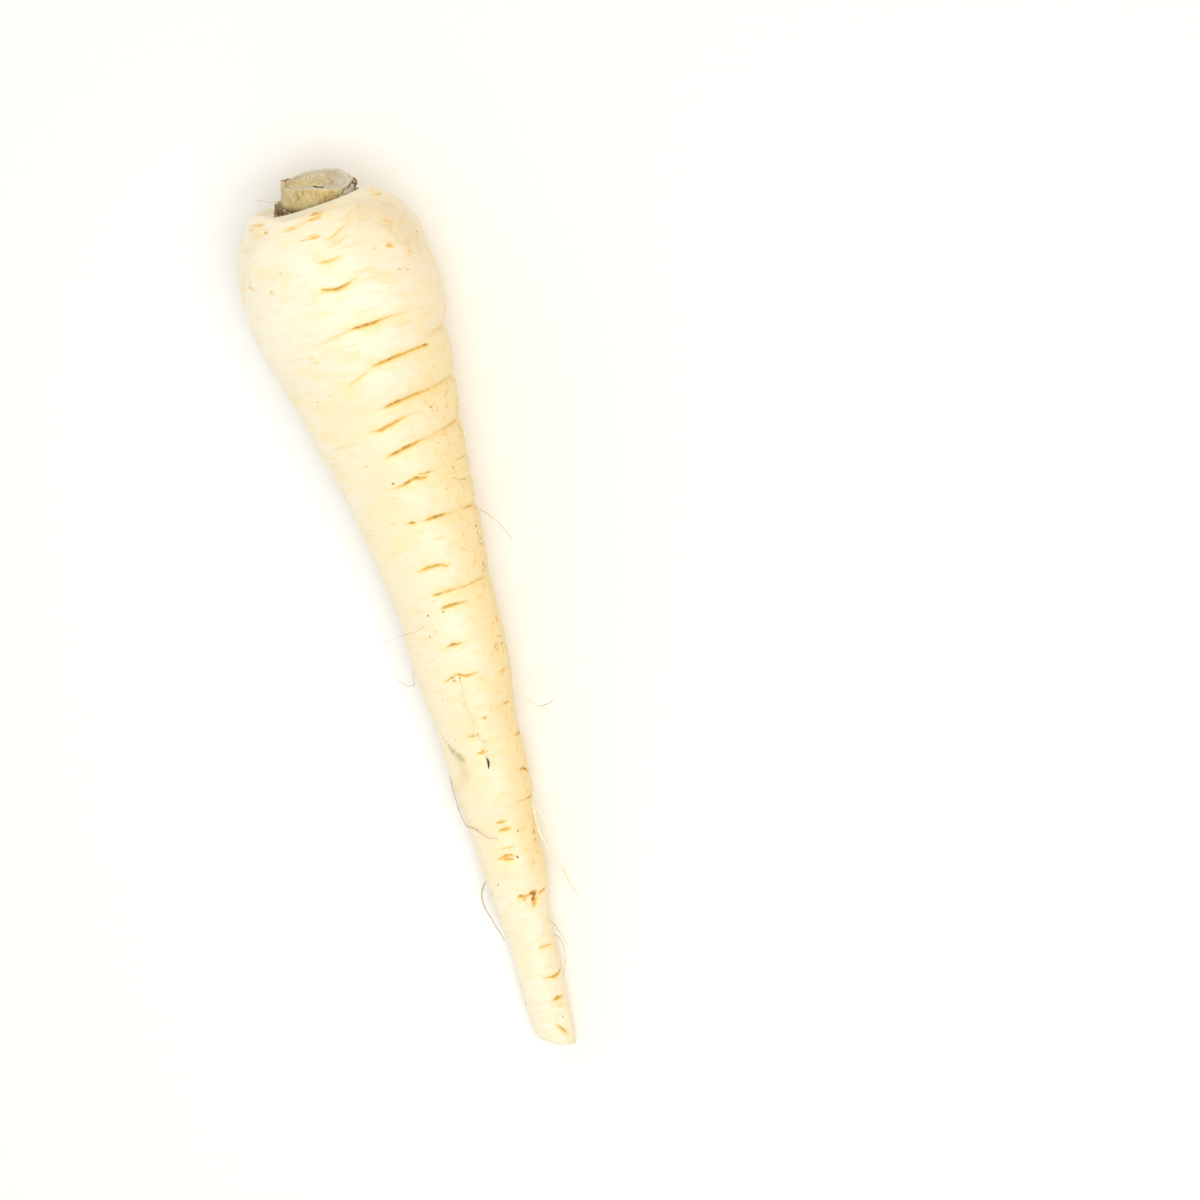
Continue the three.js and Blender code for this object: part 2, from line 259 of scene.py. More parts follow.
def through(path, count):
    """Points along the smooth curve through a path, with its ends kept."""
    corners = np.array(path, float)
    ghost = np.concatenate([[2 * corners[0] - corners[1]], corners, [2 * corners[-1] - corners[-2]]])
    found = []
    for t in np.linspace(0, len(corners) - 1, count):
        i = min(int(t), len(corners) - 2)
        p0, p1, p2, p3 = ghost[i:i + 4]
        knots = np.cumsum([0, *(max(1e-4, np.linalg.norm(b - a)) ** 0.5 for a, b in ((p0, p1), (p1, p2), (p2, p3)))])
        at = knots[1] + (t - i) * (knots[2] - knots[1])

        def between(a, b, start, end):
            return a + (b - a) * (at - start) / (end - start)

        a1, a2, a3 = between(p0, p1, *knots[:2]), between(p1, p2, *knots[1:3]), between(p2, p3, *knots[2:4])
        b1, b2 = between(a1, a2, knots[0], knots[2]), between(a2, a3, knots[1], knots[3])
        found.append(between(b1, b2, knots[1], knots[2]))
    return np.array(found)


# A crease runs part of the way round, and a brown line lies in most of them. Each row is: station, angle of its
# middle, reach to each side, depth and slant, then its line, if it has one, as points of [station, angle, how gold,
# how dark]. Angles are in degrees from straight up, and positive on the +X side.
creases = [
    [22.3, 6, 16, 0.3, -0.8, [
        [21.5, -7, 0.8, 0.1], [22.1, -2, 1, 0.4], [22.4, 3, 1, 0.8], [22, 8, 0.8, 0.4], [21.4, 12, 0.5, 0.2],
        [20.5, 20, 0.1, 0]]],
    [33.5, 10, 40, 0.45, 0, [
        [36.6, -34, 0, 0], [35.4, -18, 0.25, 0.05], [34.3, -6, 0.4, 0.2], [33.6, 1, 0.5, 0.25], [33.4, 9, 1, 0.9],
        [33.4, 16, 1, 0.8], [33.2, 20, 0.7, 0.3], [33.1, 28, 0.5, 0.2], [33.3, 36, 0.35, 0.1], [33.5, 47, 0.1, 0]]],
    [43.8, 24, 34, 0.6, -0.6, [
        [48.4, -16, 0.2, 0], [46.8, -6, 0.5, 0.05], [45.2, 4, 0.45, 0], [44.4, 9, 0.6, 0.1], [44, 14, 0.9, 0.4],
        [43.8, 19, 1, 0.8], [43.6, 25, 1, 0.5], [43.4, 36, 0.8, 0.25], [43.3, 45, 0.8, 0.3], [43.4, 49, 1, 0.8],
        [43.6, 54, 0.1, 0]]],
    [41.5, 86, 44, 1.3, 0.5, [[41, 49, 0, 0], [41, 58, 0.3, 0.2], [41, 70, 0.4, 0.3], [41.4, 100, 0.2, 0.1]]],
    [55, 58, 76, 1.7, -0.9, [
        [55.7, -10, 0.35, 0.1], [56, 3, 0.3, 0.05], [55.6, 9, 0.9, 0.4], [55.3, 16, 1, 0.8], [55.1, 21, 0.8, 0.3],
        [54.9, 33, 0.8, 0.45], [54.9, 41, 0.6, 0.3], [55, 49, 0.5, 0.5], [54.6, 66, 0.4, 0.4], [54.3, 88, 0.5, 0.3]]],
    [60.4, 18, 36, 0.5, -1.6, [
        [61.1, -13, 0.2, 0], [61.2, -6, 0.6, 0.3], [61.3, -2, 0.9, 1], [60.8, 3, 1, 0.5], [60.4, 9, 1, 0.6],
        [59.8, 17, 0.6, 0.4], [59.6, 26, 0.35, 0.2], [59.5, 38, 0.2, 0.1]]],
    [66.7, 56, 70, 1.6, -1.6, [
        [69.2, -8, 0.4, 0.05], [68.5, -1, 0.8, 0.4], [68.2, 5, 1, 0.9], [67.7, 12, 1, 0.9], [67.3, 21, 0.9, 0.5],
        [67, 28, 0.6, 0.1], [66.9, 45, 0.3, 0.1], [66.5, 56, 0.5, 0.3], [66.2, 74, 0.6, 0.35], [66, 92, 0.3, 0.1]]],
    [76.4, 30, 44, 0.6, -0.9, [
        [77.4, -20, 0.2, 0.1], [77.5, -7, 0.5, 0.25], [77.3, -1, 0.8, 0.8], [76.7, 7, 1, 0.9], [76.4, 12, 1, 0.8],
        [76.8, 17, 0.9, 0.6], [77, 26, 0.3, 0]]],
    [76.3, 84, 30, 0.5, 0, [[75.5, 46, 0, 0], [75.6, 60, 0.4, 0.3], [75.7, 76, 0.6, 0.3], [76, 100, 0.2, 0]]],
    [81.4, 76, 40, 0.6, 1, [
        [79.5, 36, 0.3, 0.1], [79.8, 48, 0.3, 0.3], [81.2, 60, 0.5, 0.5], [81.5, 80, 0.4, 0.3]]],
    [88.6, 54, 72, 1.3, 0.7, [
        [87.7, -9, 0.3, 0.1], [87.8, -5, 1, 0.8], [88.2, 0, 0.3, 0.05], [88.2, 8, 0.5, 0.3], [88, 15, 1, 0.8],
        [88.1, 24, 0.9, 0.7], [88.2, 34, 0.5, 0.2], [88.7, 50, 0.3, 0.1], [88.8, 61, 0.6, 0.4],
        [89.2, 80, 0.8, 0.5]]],
    [101, 0, 20, 0.35, 0, [
        [101, -18, 0.4, 0.1], [101, -11, 0.6, 0.15], [100.7, -5, 0.9, 0.9], [100.7, 3, 1, 0.6],
        [100.9, 12, 0.7, 0.3], [101.5, 16, 0.7, 0.35], [101.4, 24, 0.1, 0]]],
    [109, 56, 74, 1.3, 0, [
        [108.4, -9, 0.4, 0.4], [108.5, -3, 0.8, 0.9], [108.4, 4, 0.6, 0.4], [108.4, 11, 0.8, 0.5],
        [108.5, 22, 0.5, 0.3], [108.8, 37, 0.6, 0.1], [108.6, 49, 0.6, 0.2], [108.8, 84, 0.5, 0.2]]],
    [112.8, 24, 34, 0.4, 0, [
        [112.8, -6, 0.1, 0], [112.4, 0, 0.9, 0.6], [112.3, 7, 1, 0.9], [112.4, 15, 0.8, 0.5], [112.6, 24, 0.6, 0.5],
        [112.5, 32, 0.3, 0.1], [113.2, 56, 0.4, 0.3], [113.6, 61, 0, 0]]],
    [122.9, 2, 24, 0.35, -0.7, [
        [123.8, -22, 0, 0], [123.3, -13, 0.3, 0.1], [122.9, -6, 0.7, 0.4], [122.8, -1, 0.9, 0.8],
        [122.9, 5, 0.7, 0.3], [123, 19, 0.25, 0.15], [123.3, 34, 0, 0]]],
    [131.9, -3, 20, 0.5, 0, [
        [132.4, -29, 0.1, 0], [131.9, -16, 0.8, 0.7], [131.2, -6, 0.9, 0.7], [131.6, 0, 0.9, 0.7],
        [132, 8, 0.8, 0.5], [131.9, 21, 0.4, 0.2], [132, 28, 0, 0]]],
    [143.4, 54, 26, 0.35, 0.3, [
        [143.1, 32, 0.3, 0.2], [143.3, 46, 0.3, 0.2], [143.2, 57, 0.8, 0.5], [143.5, 72, 0.6, 0.4]]],
    [148.2, -8, 15, 0.25, 0, [
        [148.9, -20, 0, 0], [148.8, -11, 0.5, 0.15], [148.8, -6, 0.7, 0.9], [148.9, -3, 0.4, 0.3],
        [148.8, 0, 0.8, 0.9], [148.7, 3, 0, 0]]],
    [153.4, 30, 55, 0.25, 0, [[153.7, -10, 0, 0], [153.8, -1, 0.9, 0.5], [153.6, 5, 0.9, 0.5], [154.8, 11, 0, 0]]],
    [163, 72, 46, 1.15, 0, [
        [162.4, 52, 0.3, 0.2], [162.7, 73, 1, 0.6], [164.4, 88, 0.9, 0.5], [165.9, 96, 0.3, 0.1]]],
    [171.2, 52, 40, 0.5, 0.5, [
        [169.8, 23, 0, 0], [170.4, 40, 0.3, 0.25], [170.6, 58, 0.6, 0.3], [171.1, 80, 1, 0.4]]],
    [174.4, 7, 18, 0.35, 0, [[174.1, -9, 0.1, 0], [174.2, 2, 0.9, 0.3], [174.3, 10, 0.6, 0.1], [174.4, 16, 0, 0]]],
    [176.5, 7, 18, 0.3, 0, [[176.5, -8, 0.3, 0], [176.5, 4, 0.9, 0.5], [176.5, 12, 1, 0.4], [176.7, 22, 0.1, 0]]],
    [184.3, -5, 24, 0.45, 0, [
        [184.5, -24, 0, 0], [184.2, -13, 0.9, 0.6], [183.8, -2, 1, 0.7], [184.1, 5, 1, 0.6], [185.3, 13, 0.2, 0]]],
    [196.4, 26, 40, 0.35, 0, [
        [196.1, -8, 0, 0], [195.9, 3, 1, 0.7], [196.3, 10, 0.9, 0.6], [196.3, 20, 0.6, 0.4], [195.8, 31, 0.7, 0.6],
        [196.4, 37, 0.7, 0.7], [197.6, 41, 0.1, 0]]],
    [198.2, 22, 58, 0.7, 0, None],
    [212.3, 43, 42, 0.35, 0.5, [
        [212.4, 10, 0, 0], [212.1, 22, 0.6, 0.3], [212.2, 36, 0.6, 0.3], [212.8, 72, 0.4, 0.1]]],
    [220.8, 45, 50, 0.5, 0.6, [
        [220.7, -5, 0, 0], [220.6, 9, 0.4, 0.2], [220.9, 22, 0.6, 0.2], [221.2, 36, 0.8, 0.5],
        [221.3, 53, 0.9, 0.5], [220.8, 70, 0.7, 0.4], [220.2, 92, 0.4, 0.2]]],
    [227.4, 42, 38, 0.3, 0.5, [
        [227.5, 9, 0, 0], [227.5, 21, 0.5, 0.2], [227.4, 36, 1, 0.7], [227.6, 50, 0.7, 0.3], [227.9, 68, 0, 0]]],
    [236.4, 36, 24, 0.35, 2.4, [
        [233.7, 8, 0.2, 0.1], [236.2, 29, 0.7, 0.3], [237.6, 41, 0.7, 0.4], [238.6, 53, 0, 0]]],
]

# Lines that lie on the skin with no crease of their own: soft folds under the crown, and faint ones further down.
loose_lines = [
    [[2.5, -76, 0, 0], [2.4, -58, 0.4, 0.2], [2.5, -49, 0.6, 0.4], [2.8, -38, 0, 0]],
    [[9, 1, 0.2, 0.1], [9.7, 7, 0.5, 0.15], [8.9, 11, 0.5, 0.1], [7.8, 17, 0.4, 0], [6.8, 26, 0, 0]],
    [[12.2, 0, 0.1, 0], [11.5, 7, 0.4, 0], [10.6, 14, 0.35, 0], [9.8, 23, 0, 0]],
    [[14.8, -7, 0.1, 0], [15, 0, 0.65, 0.1], [14.9, 5, 0.55, 0], [14.1, 16, 0, 0]],
    [[60.4, -60, 0, 0], [60.3, -44, 0.25, 0.1], [59.9, -30, 0.1, 0]],
    [[64.3, -57, 0, 0], [63.8, -39, 0.35, 0.35], [63.4, -27, 0, 0]],
    [[66.7, -40, 0, 0], [66.1, -34, 0.3, 0.25], [65.8, -21, 0, 0]],
    [[65.1, 56, 0, 0], [65.6, 62, 0.4, 0.3], [66.1, 72, 0, 0]],
    [[75.7, 12, 0.2, 0.1], [75.7, 17, 0.7, 0.6], [75.9, 22, 0.8, 0.7], [75.9, 29, 0.4, 0.2], [76.2, 38, 0, 0]],
    [[86.7, -32, 0, 0], [86.9, -22, 0.35, 0.3], [86.7, -14, 0, 0]],
    [[89.4, -68, 0, 0], [89.2, -54, 0.35, 0.25], [89.1, -44, 0, 0]],
    [[93.5, 5, 0, 0], [93.8, 17, 0.35, 0.15], [94.1, 27, 0, 0]],
    [[110.4, 28, 0, 0], [110.2, 41, 0.25, 0.2], [110, 72, 0.3, 0.3], [110, 90, 0, 0]],
    [[132.1, -17, 0.4, 0.3], [132.5, -11, 0.8, 0.7], [132.2, -4, 0.8, 0.7], [132.1, -1, 0, 0]],
    [[152.4, 48, 0, 0], [152.7, 64, 0.6, 0.4], [153.1, 80, 0.8, 0.5], [153.3, 94, 0.2, 0]],
    [[181.6, -18, 0, 0], [181.6, -2, 0.5, 0.1], [181.9, 16, 0.4, 0.1], [182.1, 27, 0, 0]],
    [[184.5, -21, 0.2, 0], [184.7, -8, 0.9, 0.3], [185, 5, 0.9, 0.4], [185.5, 12, 0, 0]],
    [[197.4, 40, 0.2, 0], [196.9, 48, 1, 0.3], [196.6, 58, 1, 0.2], [196.6, 66, 0, 0]],
    [[197.8, 37, 0.8, 0.3], [199, 32, 1, 0.2], [200.5, 28, 0.3, 0]],
    [[197.3, 8, 0, 0], [198.2, 12, 0.3, 0.7], [199.3, 16, 0, 0]],
    [[197.7, -30, 0, 0], [197.6, -20, 0.3, 0.3], [197.6, -13, 0, 0]],
    [[220.6, 74, 0.3, 0.1], [219.4, 82, 0.5, 0.3], [217.9, 82, 0, 0]],
]


def draw_from(seed):
    """A source of even draws from 0 to 1, which are the same ones each time."""
    state = seed

    def draw():
        nonlocal state
        state = (state * 1664525 + 1013904223) % 2 ** 32
        return state / 2 ** 32

    return draw


def drawn_line(draw, station, middle, reach, slant, gold, dark):
    """A line round the root that wavers a little and is strongest near its middle."""
    line = []
    for share, strength in ((-0.9, 0), (-0.35, 0.6), (0.1, 1), (0.45, 0.5), (0.9, 0)):
        wavering = 0.9 * (draw() - 0.5)
        line.append([station + slant * share + wavering, middle + reach * share, gold * strength, dark * strength])
    return line


# Creases on the rows of rootlets underneath and on the far side.
draw = draw_from(23)
for row in (-176, -128):
    station = 27 + 9 * draw()
    while station < 232:
        middle = row + 26 * (draw() - 0.5)
        reach = 18 + 24 * draw()
        depth = 0.3 + 0.5 * draw()
        slant = 2.4 * (draw() - 0.5)
        depth *= 0.7 if station > 150 else 1
        creases.append([station, middle, reach, depth, slant, None])
        station += 6 + 10 * draw()
draw = draw_from(37)
for crease in creases:
    station, middle, reach, depth, slant, line = crease
    if middle < -100:
        gold, dark = 0.5 + 0.5 * draw(), 0.2 + 0.8 * draw()
        crease[5] = drawn_line(draw, station, middle, 0.8 * reach, slant, gold, dark)

# Fine wrinkles: short, faint lines, thickest along the rows where rootlets break out.
draw = draw_from(71)
wrinkle_rows = (10, 30, 55, 70, 85, -35, -65, -110, -150, 180, 130)
wrinkle_count = 300
for _ in range(wrinkle_count):
    station = 8 + 224 * draw()
    middle = wrinkle_rows[int(len(wrinkle_rows) * draw())] + 46 * (draw() - 0.5)
    reach = (4 + 11 * draw()) * (1 if station < 100 else 1.7)
    gold = 0.08 + 0.26 * draw() ** 2
    dark = 0.22 * draw() ** 3
    loose_lines.append(drawn_line(draw, station, middle, reach, 1.2 * (draw() - 0.5), gold, dark))


# Rings of points from the middle of the hollow, out over the lip and the shoulder, and down to the cut tip. They lie
# closest where creases do.
segments = 150
hollow_steps = 5
lip_steps = 8
shoulder_rings = 62
body_rings = 555
shoulder_samples = 2000
body_samples = 3000
even = np.arange(segments) / segments * 2 * math.pi
angles = (even - 0.3 * np.sin(even))[None, :]  # closer together on top than underneath
degrees = np.degrees(angles)

# Each ring is its station, its radius, and how much of the skin's unevenness it has.
hollow_line = [[hollow_depth, 0.4], [hollow_depth - 0.1, 0.55 * crown_radius]]
hollow_line += [[hollow_depth - 0.7, crown_radius - 2.1], [hollow_depth - 2.2, crown_radius - 1]]
hollow_line += [[lip_round, crown_radius - lip_round]]
rings = []
for (s0, r0), (s1, r1) in zip(hollow_line, hollow_line[1:]):
    rings += [[s0 + (s1 - s0) * k / hollow_steps, r0 + (r1 - r0) * k / hollow_steps, 0] for k in range(hollow_steps)]
for k in range(lip_steps):
    around = math.pi / 2 * k / lip_steps
    rings.append([lip_round * (1 - math.sin(around)), crown_radius - lip_round * math.cos(around), 0])
last_inside = len(rings) - 1

power = 2 / shoulder_fullness
quarter = np.linspace(math.pi / 2, 0, shoulder_samples)
shoulder_r = crown_radius + (shoulder_radius - crown_radius) * np.cos(quarter) ** power
shoulder_s = shoulder_station * (1 - np.sin(quarter) ** power)
walked = np.concatenate([[0], np.cumsum(np.hypot(np.diff(shoulder_r), np.diff(shoulder_s)))])
for distance in np.linspace(0, walked[-1], shoulder_rings)[:-1]:
    s, r = np.interp(distance, walked, shoulder_s), np.interp(distance, walked, shoulder_r)
    rings.append([s, r, fade(s, 0, 9)])
spots = np.linspace(shoulder_station, root_length - 1, body_samples)
closeness = 1 + sum(1.5 * bell(spots - c[0], 1.7) for c in creases if c[1] > -100)
packed = np.cumsum(np.minimum(closeness, 2.5))
for s in np.interp(np.linspace(packed[0], packed[-1], body_rings), packed, spots):
    rings.append([s, float(smooth_row(body_rows, s, 1)), 1])
# From the side of the tip to the middle of its cut: the station, and how far inward.
tip_line = [[root_length - 0.75, 0.1], [root_length - 0.5, 0.3], [root_length - 0.3, 0.6], [root_length - 0.15, 1.1]]
tip_line += [[root_length, tip_radius * share] for share in (0.4, 0.6, 0.8, 0.92)]
rings += [[s, tip_radius - inward, 0.8 - 0.15 * inward] for s, inward in tip_line]

rings = np.array(rings)
first_of_cut = len(rings) - 5
stations, radii, relief = rings[:, 0:1], rings[:, 1:2], rings[:, 2:3]
placed = leaning(stations, radii * np.sin(angles), radii * np.cos(angles))


def lay_lines(lines):
    """For each point of the grid: how far it lies tipward of the line that shows most there, and how gold and how
    dark that line is."""
    nearest, next_nearest = np.full(placed.shape, 9.0), np.full(placed.shape, 9.0)
    across, gold, dark = np.full(placed.shape, 3.0), np.zeros(placed.shape), np.zeros(placed.shape)
    for line in lines:
        stroke = through(line, 5 * (len(line) - 1) + 1)
        from_end = np.arange(len(stroke))
        stroke[:, 2:] *= np.clip(np.minimum(from_end, from_end[::-1]) / 2, 0, 1)[:, None]
        middle, reach = (stroke[:, 1].min() + stroke[:, 1].max()) / 2, np.ptp(stroke[:, 1]) / 2
        rows = np.flatnonzero((stations[:, 0] > stroke[:, 0].min() - 7) & (stations[:, 0] < stroke[:, 0].max() + 7))
        columns = np.flatnonzero(np.abs(turn(middle, degrees[0])) < reach + 15)
        here = np.ix_(rows, columns)
        round_it = np.radians(turn(middle, degrees[0, columns]))[None, :] * radii[rows]
        best = np.full(round_it.shape, 9.0)
        found = np.zeros((3, *best.shape))
        for (s0, a0, g0, d0), (s1, a1, g1, d1) in zip(stroke, stroke[1:]):
            start = math.radians(a0 - middle) * radii[rows]
            step = math.radians(a1 - a0) * radii[rows]
            share = ((round_it - start) * step + (placed[here] - s0) * (s1 - s0)) / (step ** 2 + (s1 - s0) ** 2)
            share = np.clip(share, 0, 1)
            tipward = placed[here] - s0 - share * (s1 - s0)
            away = np.hypot(round_it - start - share * step, tipward)
            strength = np.maximum(g0 + share * (g1 - g0), d0 + share * (d1 - d0))
            rank = away + 0.8 * (1 - strength)
            wins = rank < best
            best = np.where(wins, rank, best)
            held = away * np.where(tipward < 0, -1, 1), g0 + share * (g1 - g0), d0 + share * (d1 - d0)
            found = np.where(wins, np.stack(held), found)
        wins = best < nearest[here]
        next_nearest[here] = np.where(wins, nearest[here], np.minimum(next_nearest[here], best))
        nearest[here] = np.where(wins, best, nearest[here])
        across[here] = np.where(wins, np.clip(found[0], -3, 3), across[here])
        gold[here] = np.where(wins, np.clip(found[1], 0, 1), gold[here])
        dark[here] = np.where(wins, np.clip(found[2], 0, 1), dark[here])
    clear = fade(next_nearest - nearest, 0, 0.5) * fade(np.abs(across), 3, 1.8)
    return across, gold * clear, dark * clear


def crease_depth():
    """How deep the creases are at each point of the grid, and how near it lies to one. A crease follows its line."""
    depth, nearness = np.zeros(placed.shape), np.zeros(placed.shape)
    for at, middle, reach, deep, slant, line in creases:
        near = np.flatnonzero(np.abs(stations[:, 0] - at) < 15)
        rows = slice(near[0], near[-1] + 1)
        angle = turn(middle, degrees)
        around = angle / reach
        stray = 0.2 * np.sin(degrees / 7.3 + 2.3 * at)
        if line:
            strays = sorted([turn(middle, a), s - at - slant * turn(middle, a) / reach] for s, a, *_ in line)
            stray = np.interp(angle, *np.array(strays).T)
        offset = placed[rows] - at - slant * around - stray
        ends = np.clip(1 - around * around, 0, 1) ** 1.5
        groove = np.exp(0.45 - np.hypot(offset, 0.45))
        depth[rows] += deep * ends * (0.72 * groove + 0.28 * bell(offset, 4.2))
        nearness[rows] += min(1, 0.35 + 0.6 * deep) * ends ** 0.5 * bell(offset - 0.7, 2.4)
    return depth, np.clip(nearness, 0, 1)


def swelling(station, angle, radius):
    """How far the root swells out of round as it grows, in slow waves and closer ripples."""
    waves = 0.012 * np.cos(2 * angle + 0.9 + station / 60) + 0.009 * np.cos(3 * angle - station / 37)
    ripples = 0.006 * np.sin(station / 5.3 + 1.6 * np.sin(angle + 0.4)) * np.cos(angle - 1.1)
    return radius * (waves + ripples)


def uneven(size, stretch, seed):
    """Natural unevenness over the grid, about size mm across, drawn out by stretch round the root."""
    wide = size * stretch
    place = radii * np.sin(angles) / wide, stations / size + 31.7 * seed, radii * np.cos(angles) / wide
    places = np.stack(np.broadcast_arrays(*place), axis=-1)
    return np.array([noise.noise(Vector(p)) for p in places.reshape(-1, 3)]).reshape(places.shape[:2])


across, gold, dark = lay_lines([c[5] for c in creases if c[5]] + loose_lines)
slit = bell(across, np.where(across < 0, 0.25, 0.8))
creased, crease_stain_and_painted_shade = crease_depth()
depth = creased + (0.16 * gold + 0.12 * dark) * slit
patchy = np.clip(0.5 + 1.2 * uneven(22, 1, 1), 0, 1)
fine = 0.22 * uneven(9, 1.3, 2) + 0.07 * uneven(3.1, 1.5, 3) + 0.05 * patchy * uneven(0.9, 6, 4)
lift = swelling(stations, angles, radii) - depth + fine * fade(stations, 0, 5)
reach = radii + relief * lift
side, above = reach * np.sin(angles), reach * np.cos(angles)
bend = smooth_row(body_rows, stations, 2)
points = lying(bend + side, leaning(stations, side, above), above)
points[..., 2] = np.maximum(points[..., 2], 0)


def closed_skin(name, grid, first, last, marks=None):
    """A closed mesh over rings of points, with a point at each end, and each mark as a value at its points."""
    count = grid.shape[1]
    rows = grid.shape[0]
    ids = 1 + np.arange(rows * count).reshape(rows, count)
    here, beside = ids[:-1], np.roll(ids, -1, axis=1)[:-1]
    quads = np.stack([here, ids[1:], np.roll(ids, -1, axis=1)[1:], beside], axis=-1).reshape(-1, 4)
    end = rows * count + 1
    cap_first = [(0, ids[0, j], ids[0, (j + 1) % count]) for j in range(count)]
    cap_last = [(ids[-1, j], end, ids[-1, (j + 1) % count]) for j in range(count)]
    mesh = bpy.data.meshes.new(name)
    corners = np.concatenate([[first], grid.reshape(-1, 3), [last]]) * mm
    faces = [tuple(map(int, face)) for face in [*quads.tolist(), *cap_first, *cap_last]]
    mesh.from_pydata(corners.tolist(), [], faces)
    mesh.polygons.foreach_set("use_smooth", [True] * len(mesh.polygons))
    shell = bmesh.new()
    shell.from_mesh(mesh)
    if shell.calc_volume(signed=True) < 0:  # its faces look inward
        mesh.flip_normals()
    shell.free()
    for mark, values in (marks or {}).items():
        held = mesh.attributes.new(mark, "FLOAT", "POINT")
        full = np.concatenate([[values[0].mean()], values.ravel(), [values[-1].mean()]])
        held.data.foreach_set("value", full.astype(np.float32))
    made = bpy.data.objects.new(name, mesh)
    bpy.context.collection.objects.link(made)
    return made


# Marks on the skin. Each row is: station, angle, half length along the root, half width round it (mm), and strength.
tan_patches = [
    [2.6, 68, 1.4, 2.6, 0.6], [9.8, 48, 1, 1.1, 0.55], [11.6, 60, 1.2, 1.2, 0.6], [16, 42, 0.8, 1.2, 2.6],
    [18.7, 57, 1.2, 1.6, 0.65], [3.6, 0, 1, 2.4, 1.1], [3.4, -9, 0.8, 1.2, 0.6], [8.5, -4, 0.6, 1.8, 2.2],
    [8.6, -9, 0.4, 1.6, 0.6], [5.3, -19, 0.8, 2.4, 0.9], [4.7, -39, 0.6, 0.7, 1.3], [3.4, -60, 0.8, 1.8, 0.6],
    [5.4, -46, 0.8, 1.4, 0.4], [15.3, 31, 1.8, 0.5, 0.5], [30.8, 50, 1, 2, 0.35], [16.8, -57, 0.7, 0.9, 1],
    [18.1, -54, 0.6, 0.9, 0.8], [19.4, -37, 0.9, 1.1, 0.6], [38.3, -27, 1, 1.6, 0.35], [40.3, -25, 0.8, 1.4, 0.4],
    [49.8, -26, 1, 1.6, 0.45], [52.6, -24, 0.9, 1.5, 0.4], [68, -58, 0.6, 1.2, 0.6], [70.1, -25, 0.5, 1.1, 0.6],
    [53.3, 49, 0.4, 0.9, 0.7], [82, 37, 1.3, 0.5, 0.6], [84.4, 36, 1.5, 0.5, 0.5], [84.4, 49, 1.2, 0.6, 0.5],
    [83.9, -13, 1.5, 0.5, 0.35], [99, 68, 4.5, 1.3, 0.75], [107, 68, 2.5, 1.2, 0.75], [118.2, -17, 0.6, 0.8, 0.6],
    [120.9, 69, 0.9, 0.7, 1.5], [127.4, 55, 1.6, 1.4, 0.65], [134.6, 58, 1.2, 1.6, 1], [128.6, 24, 0.7, 1.1, 0.4],
    [114.8, -54, 1, 1.4, 0.35], [144.8, 17, 0.6, 0.6, 0.9], [149.7, 53, 1.2, 1.2, 0.5], [152.6, 3, 1, 1, 0.5],
    [171, 76, 0.9, 1, 1.7], [180.1, 68, 1, 0.7, 1.4], [182.8, 66, 1.8, 0.9, 0.8], [187.6, 44, 1.3, 0.7, 1],
    [188.5, -66, 1.5, 1.2, 0.4], [190.4, -48, 1.2, 1.2, 0.35], [184.4, -7, 0.5, 1.9, 2.2], [62, 76, 2, 1.5, 0.65],
    [69, 78, 2, 1.5, 0.65], [53, 80, 2, 1.5, 0.5], [234.1, -54, 1.4, 1, 0.5], [238, -39, 1, 1.5, 0.4],
    [132.1, -7, 0.5, 1, 1.2],
]
dots = [
    [2.9, 1, 0.25, 1.4, 0.7], [22.5, 44, 0.2, 0.6, 0.9], [22.4, 47, 0.2, 0.5, 0.8], [23.3, 50, 0.25, 0.7, 0.9],
    [15.3, -27, 0.2, 0.8, 0.7], [16.4, -17, 0.25, 0.6, 0.6], [8.3, -59, 0.3, 0.4, 0.6], [10.7, -52, 0.2, 0.6, 0.5],
    [50, -40, 0.3, 0.4, 0.8], [56.8, 56, 0.25, 0.5, 0.7], [76.3, -8, 0.4, 0.4, 1.3], [77.3, 52, 0.5, 0.25, 0.9],
    [74.7, -76, 0.3, 0.4, 0.7], [96.3, -20, 0.3, 0.4, 0.6], [95, 68, 0.5, 0.35, 1.3], [96.5, 66, 0.4, 0.35, 1.2],
    [98.2, 72, 0.4, 0.4, 1.2], [100.1, 72, 0.4, 0.4, 1.2], [105.3, 70, 0.4, 0.35, 1.3], [106.5, 74, 0.4, 0.35, 1.2],
    [113.6, -1, 0.35, 0.4, 1.2], [120.9, 69, 0.7, 0.3, 0.9], [125, 63, 0.4, 0.35, 1.3], [127.4, 66, 0.5, 0.4, 1.2],
    [134.5, 64, 0.4, 0.4, 0.7], [147.1, -57, 0.3, 0.35, 1.1], [150.3, -50, 0.35, 0.4, 1],
    [178.4, 29, 0.4, 0.4, 1.1], [185.2, 15, 0.45, 0.35, 1.5], [191.6, -36, 0.4, 0.4, 1], [194.2, -60, 0.35, 0.6, 1],
    [227.8, -72, 0.5, 0.4, 1.1],
]
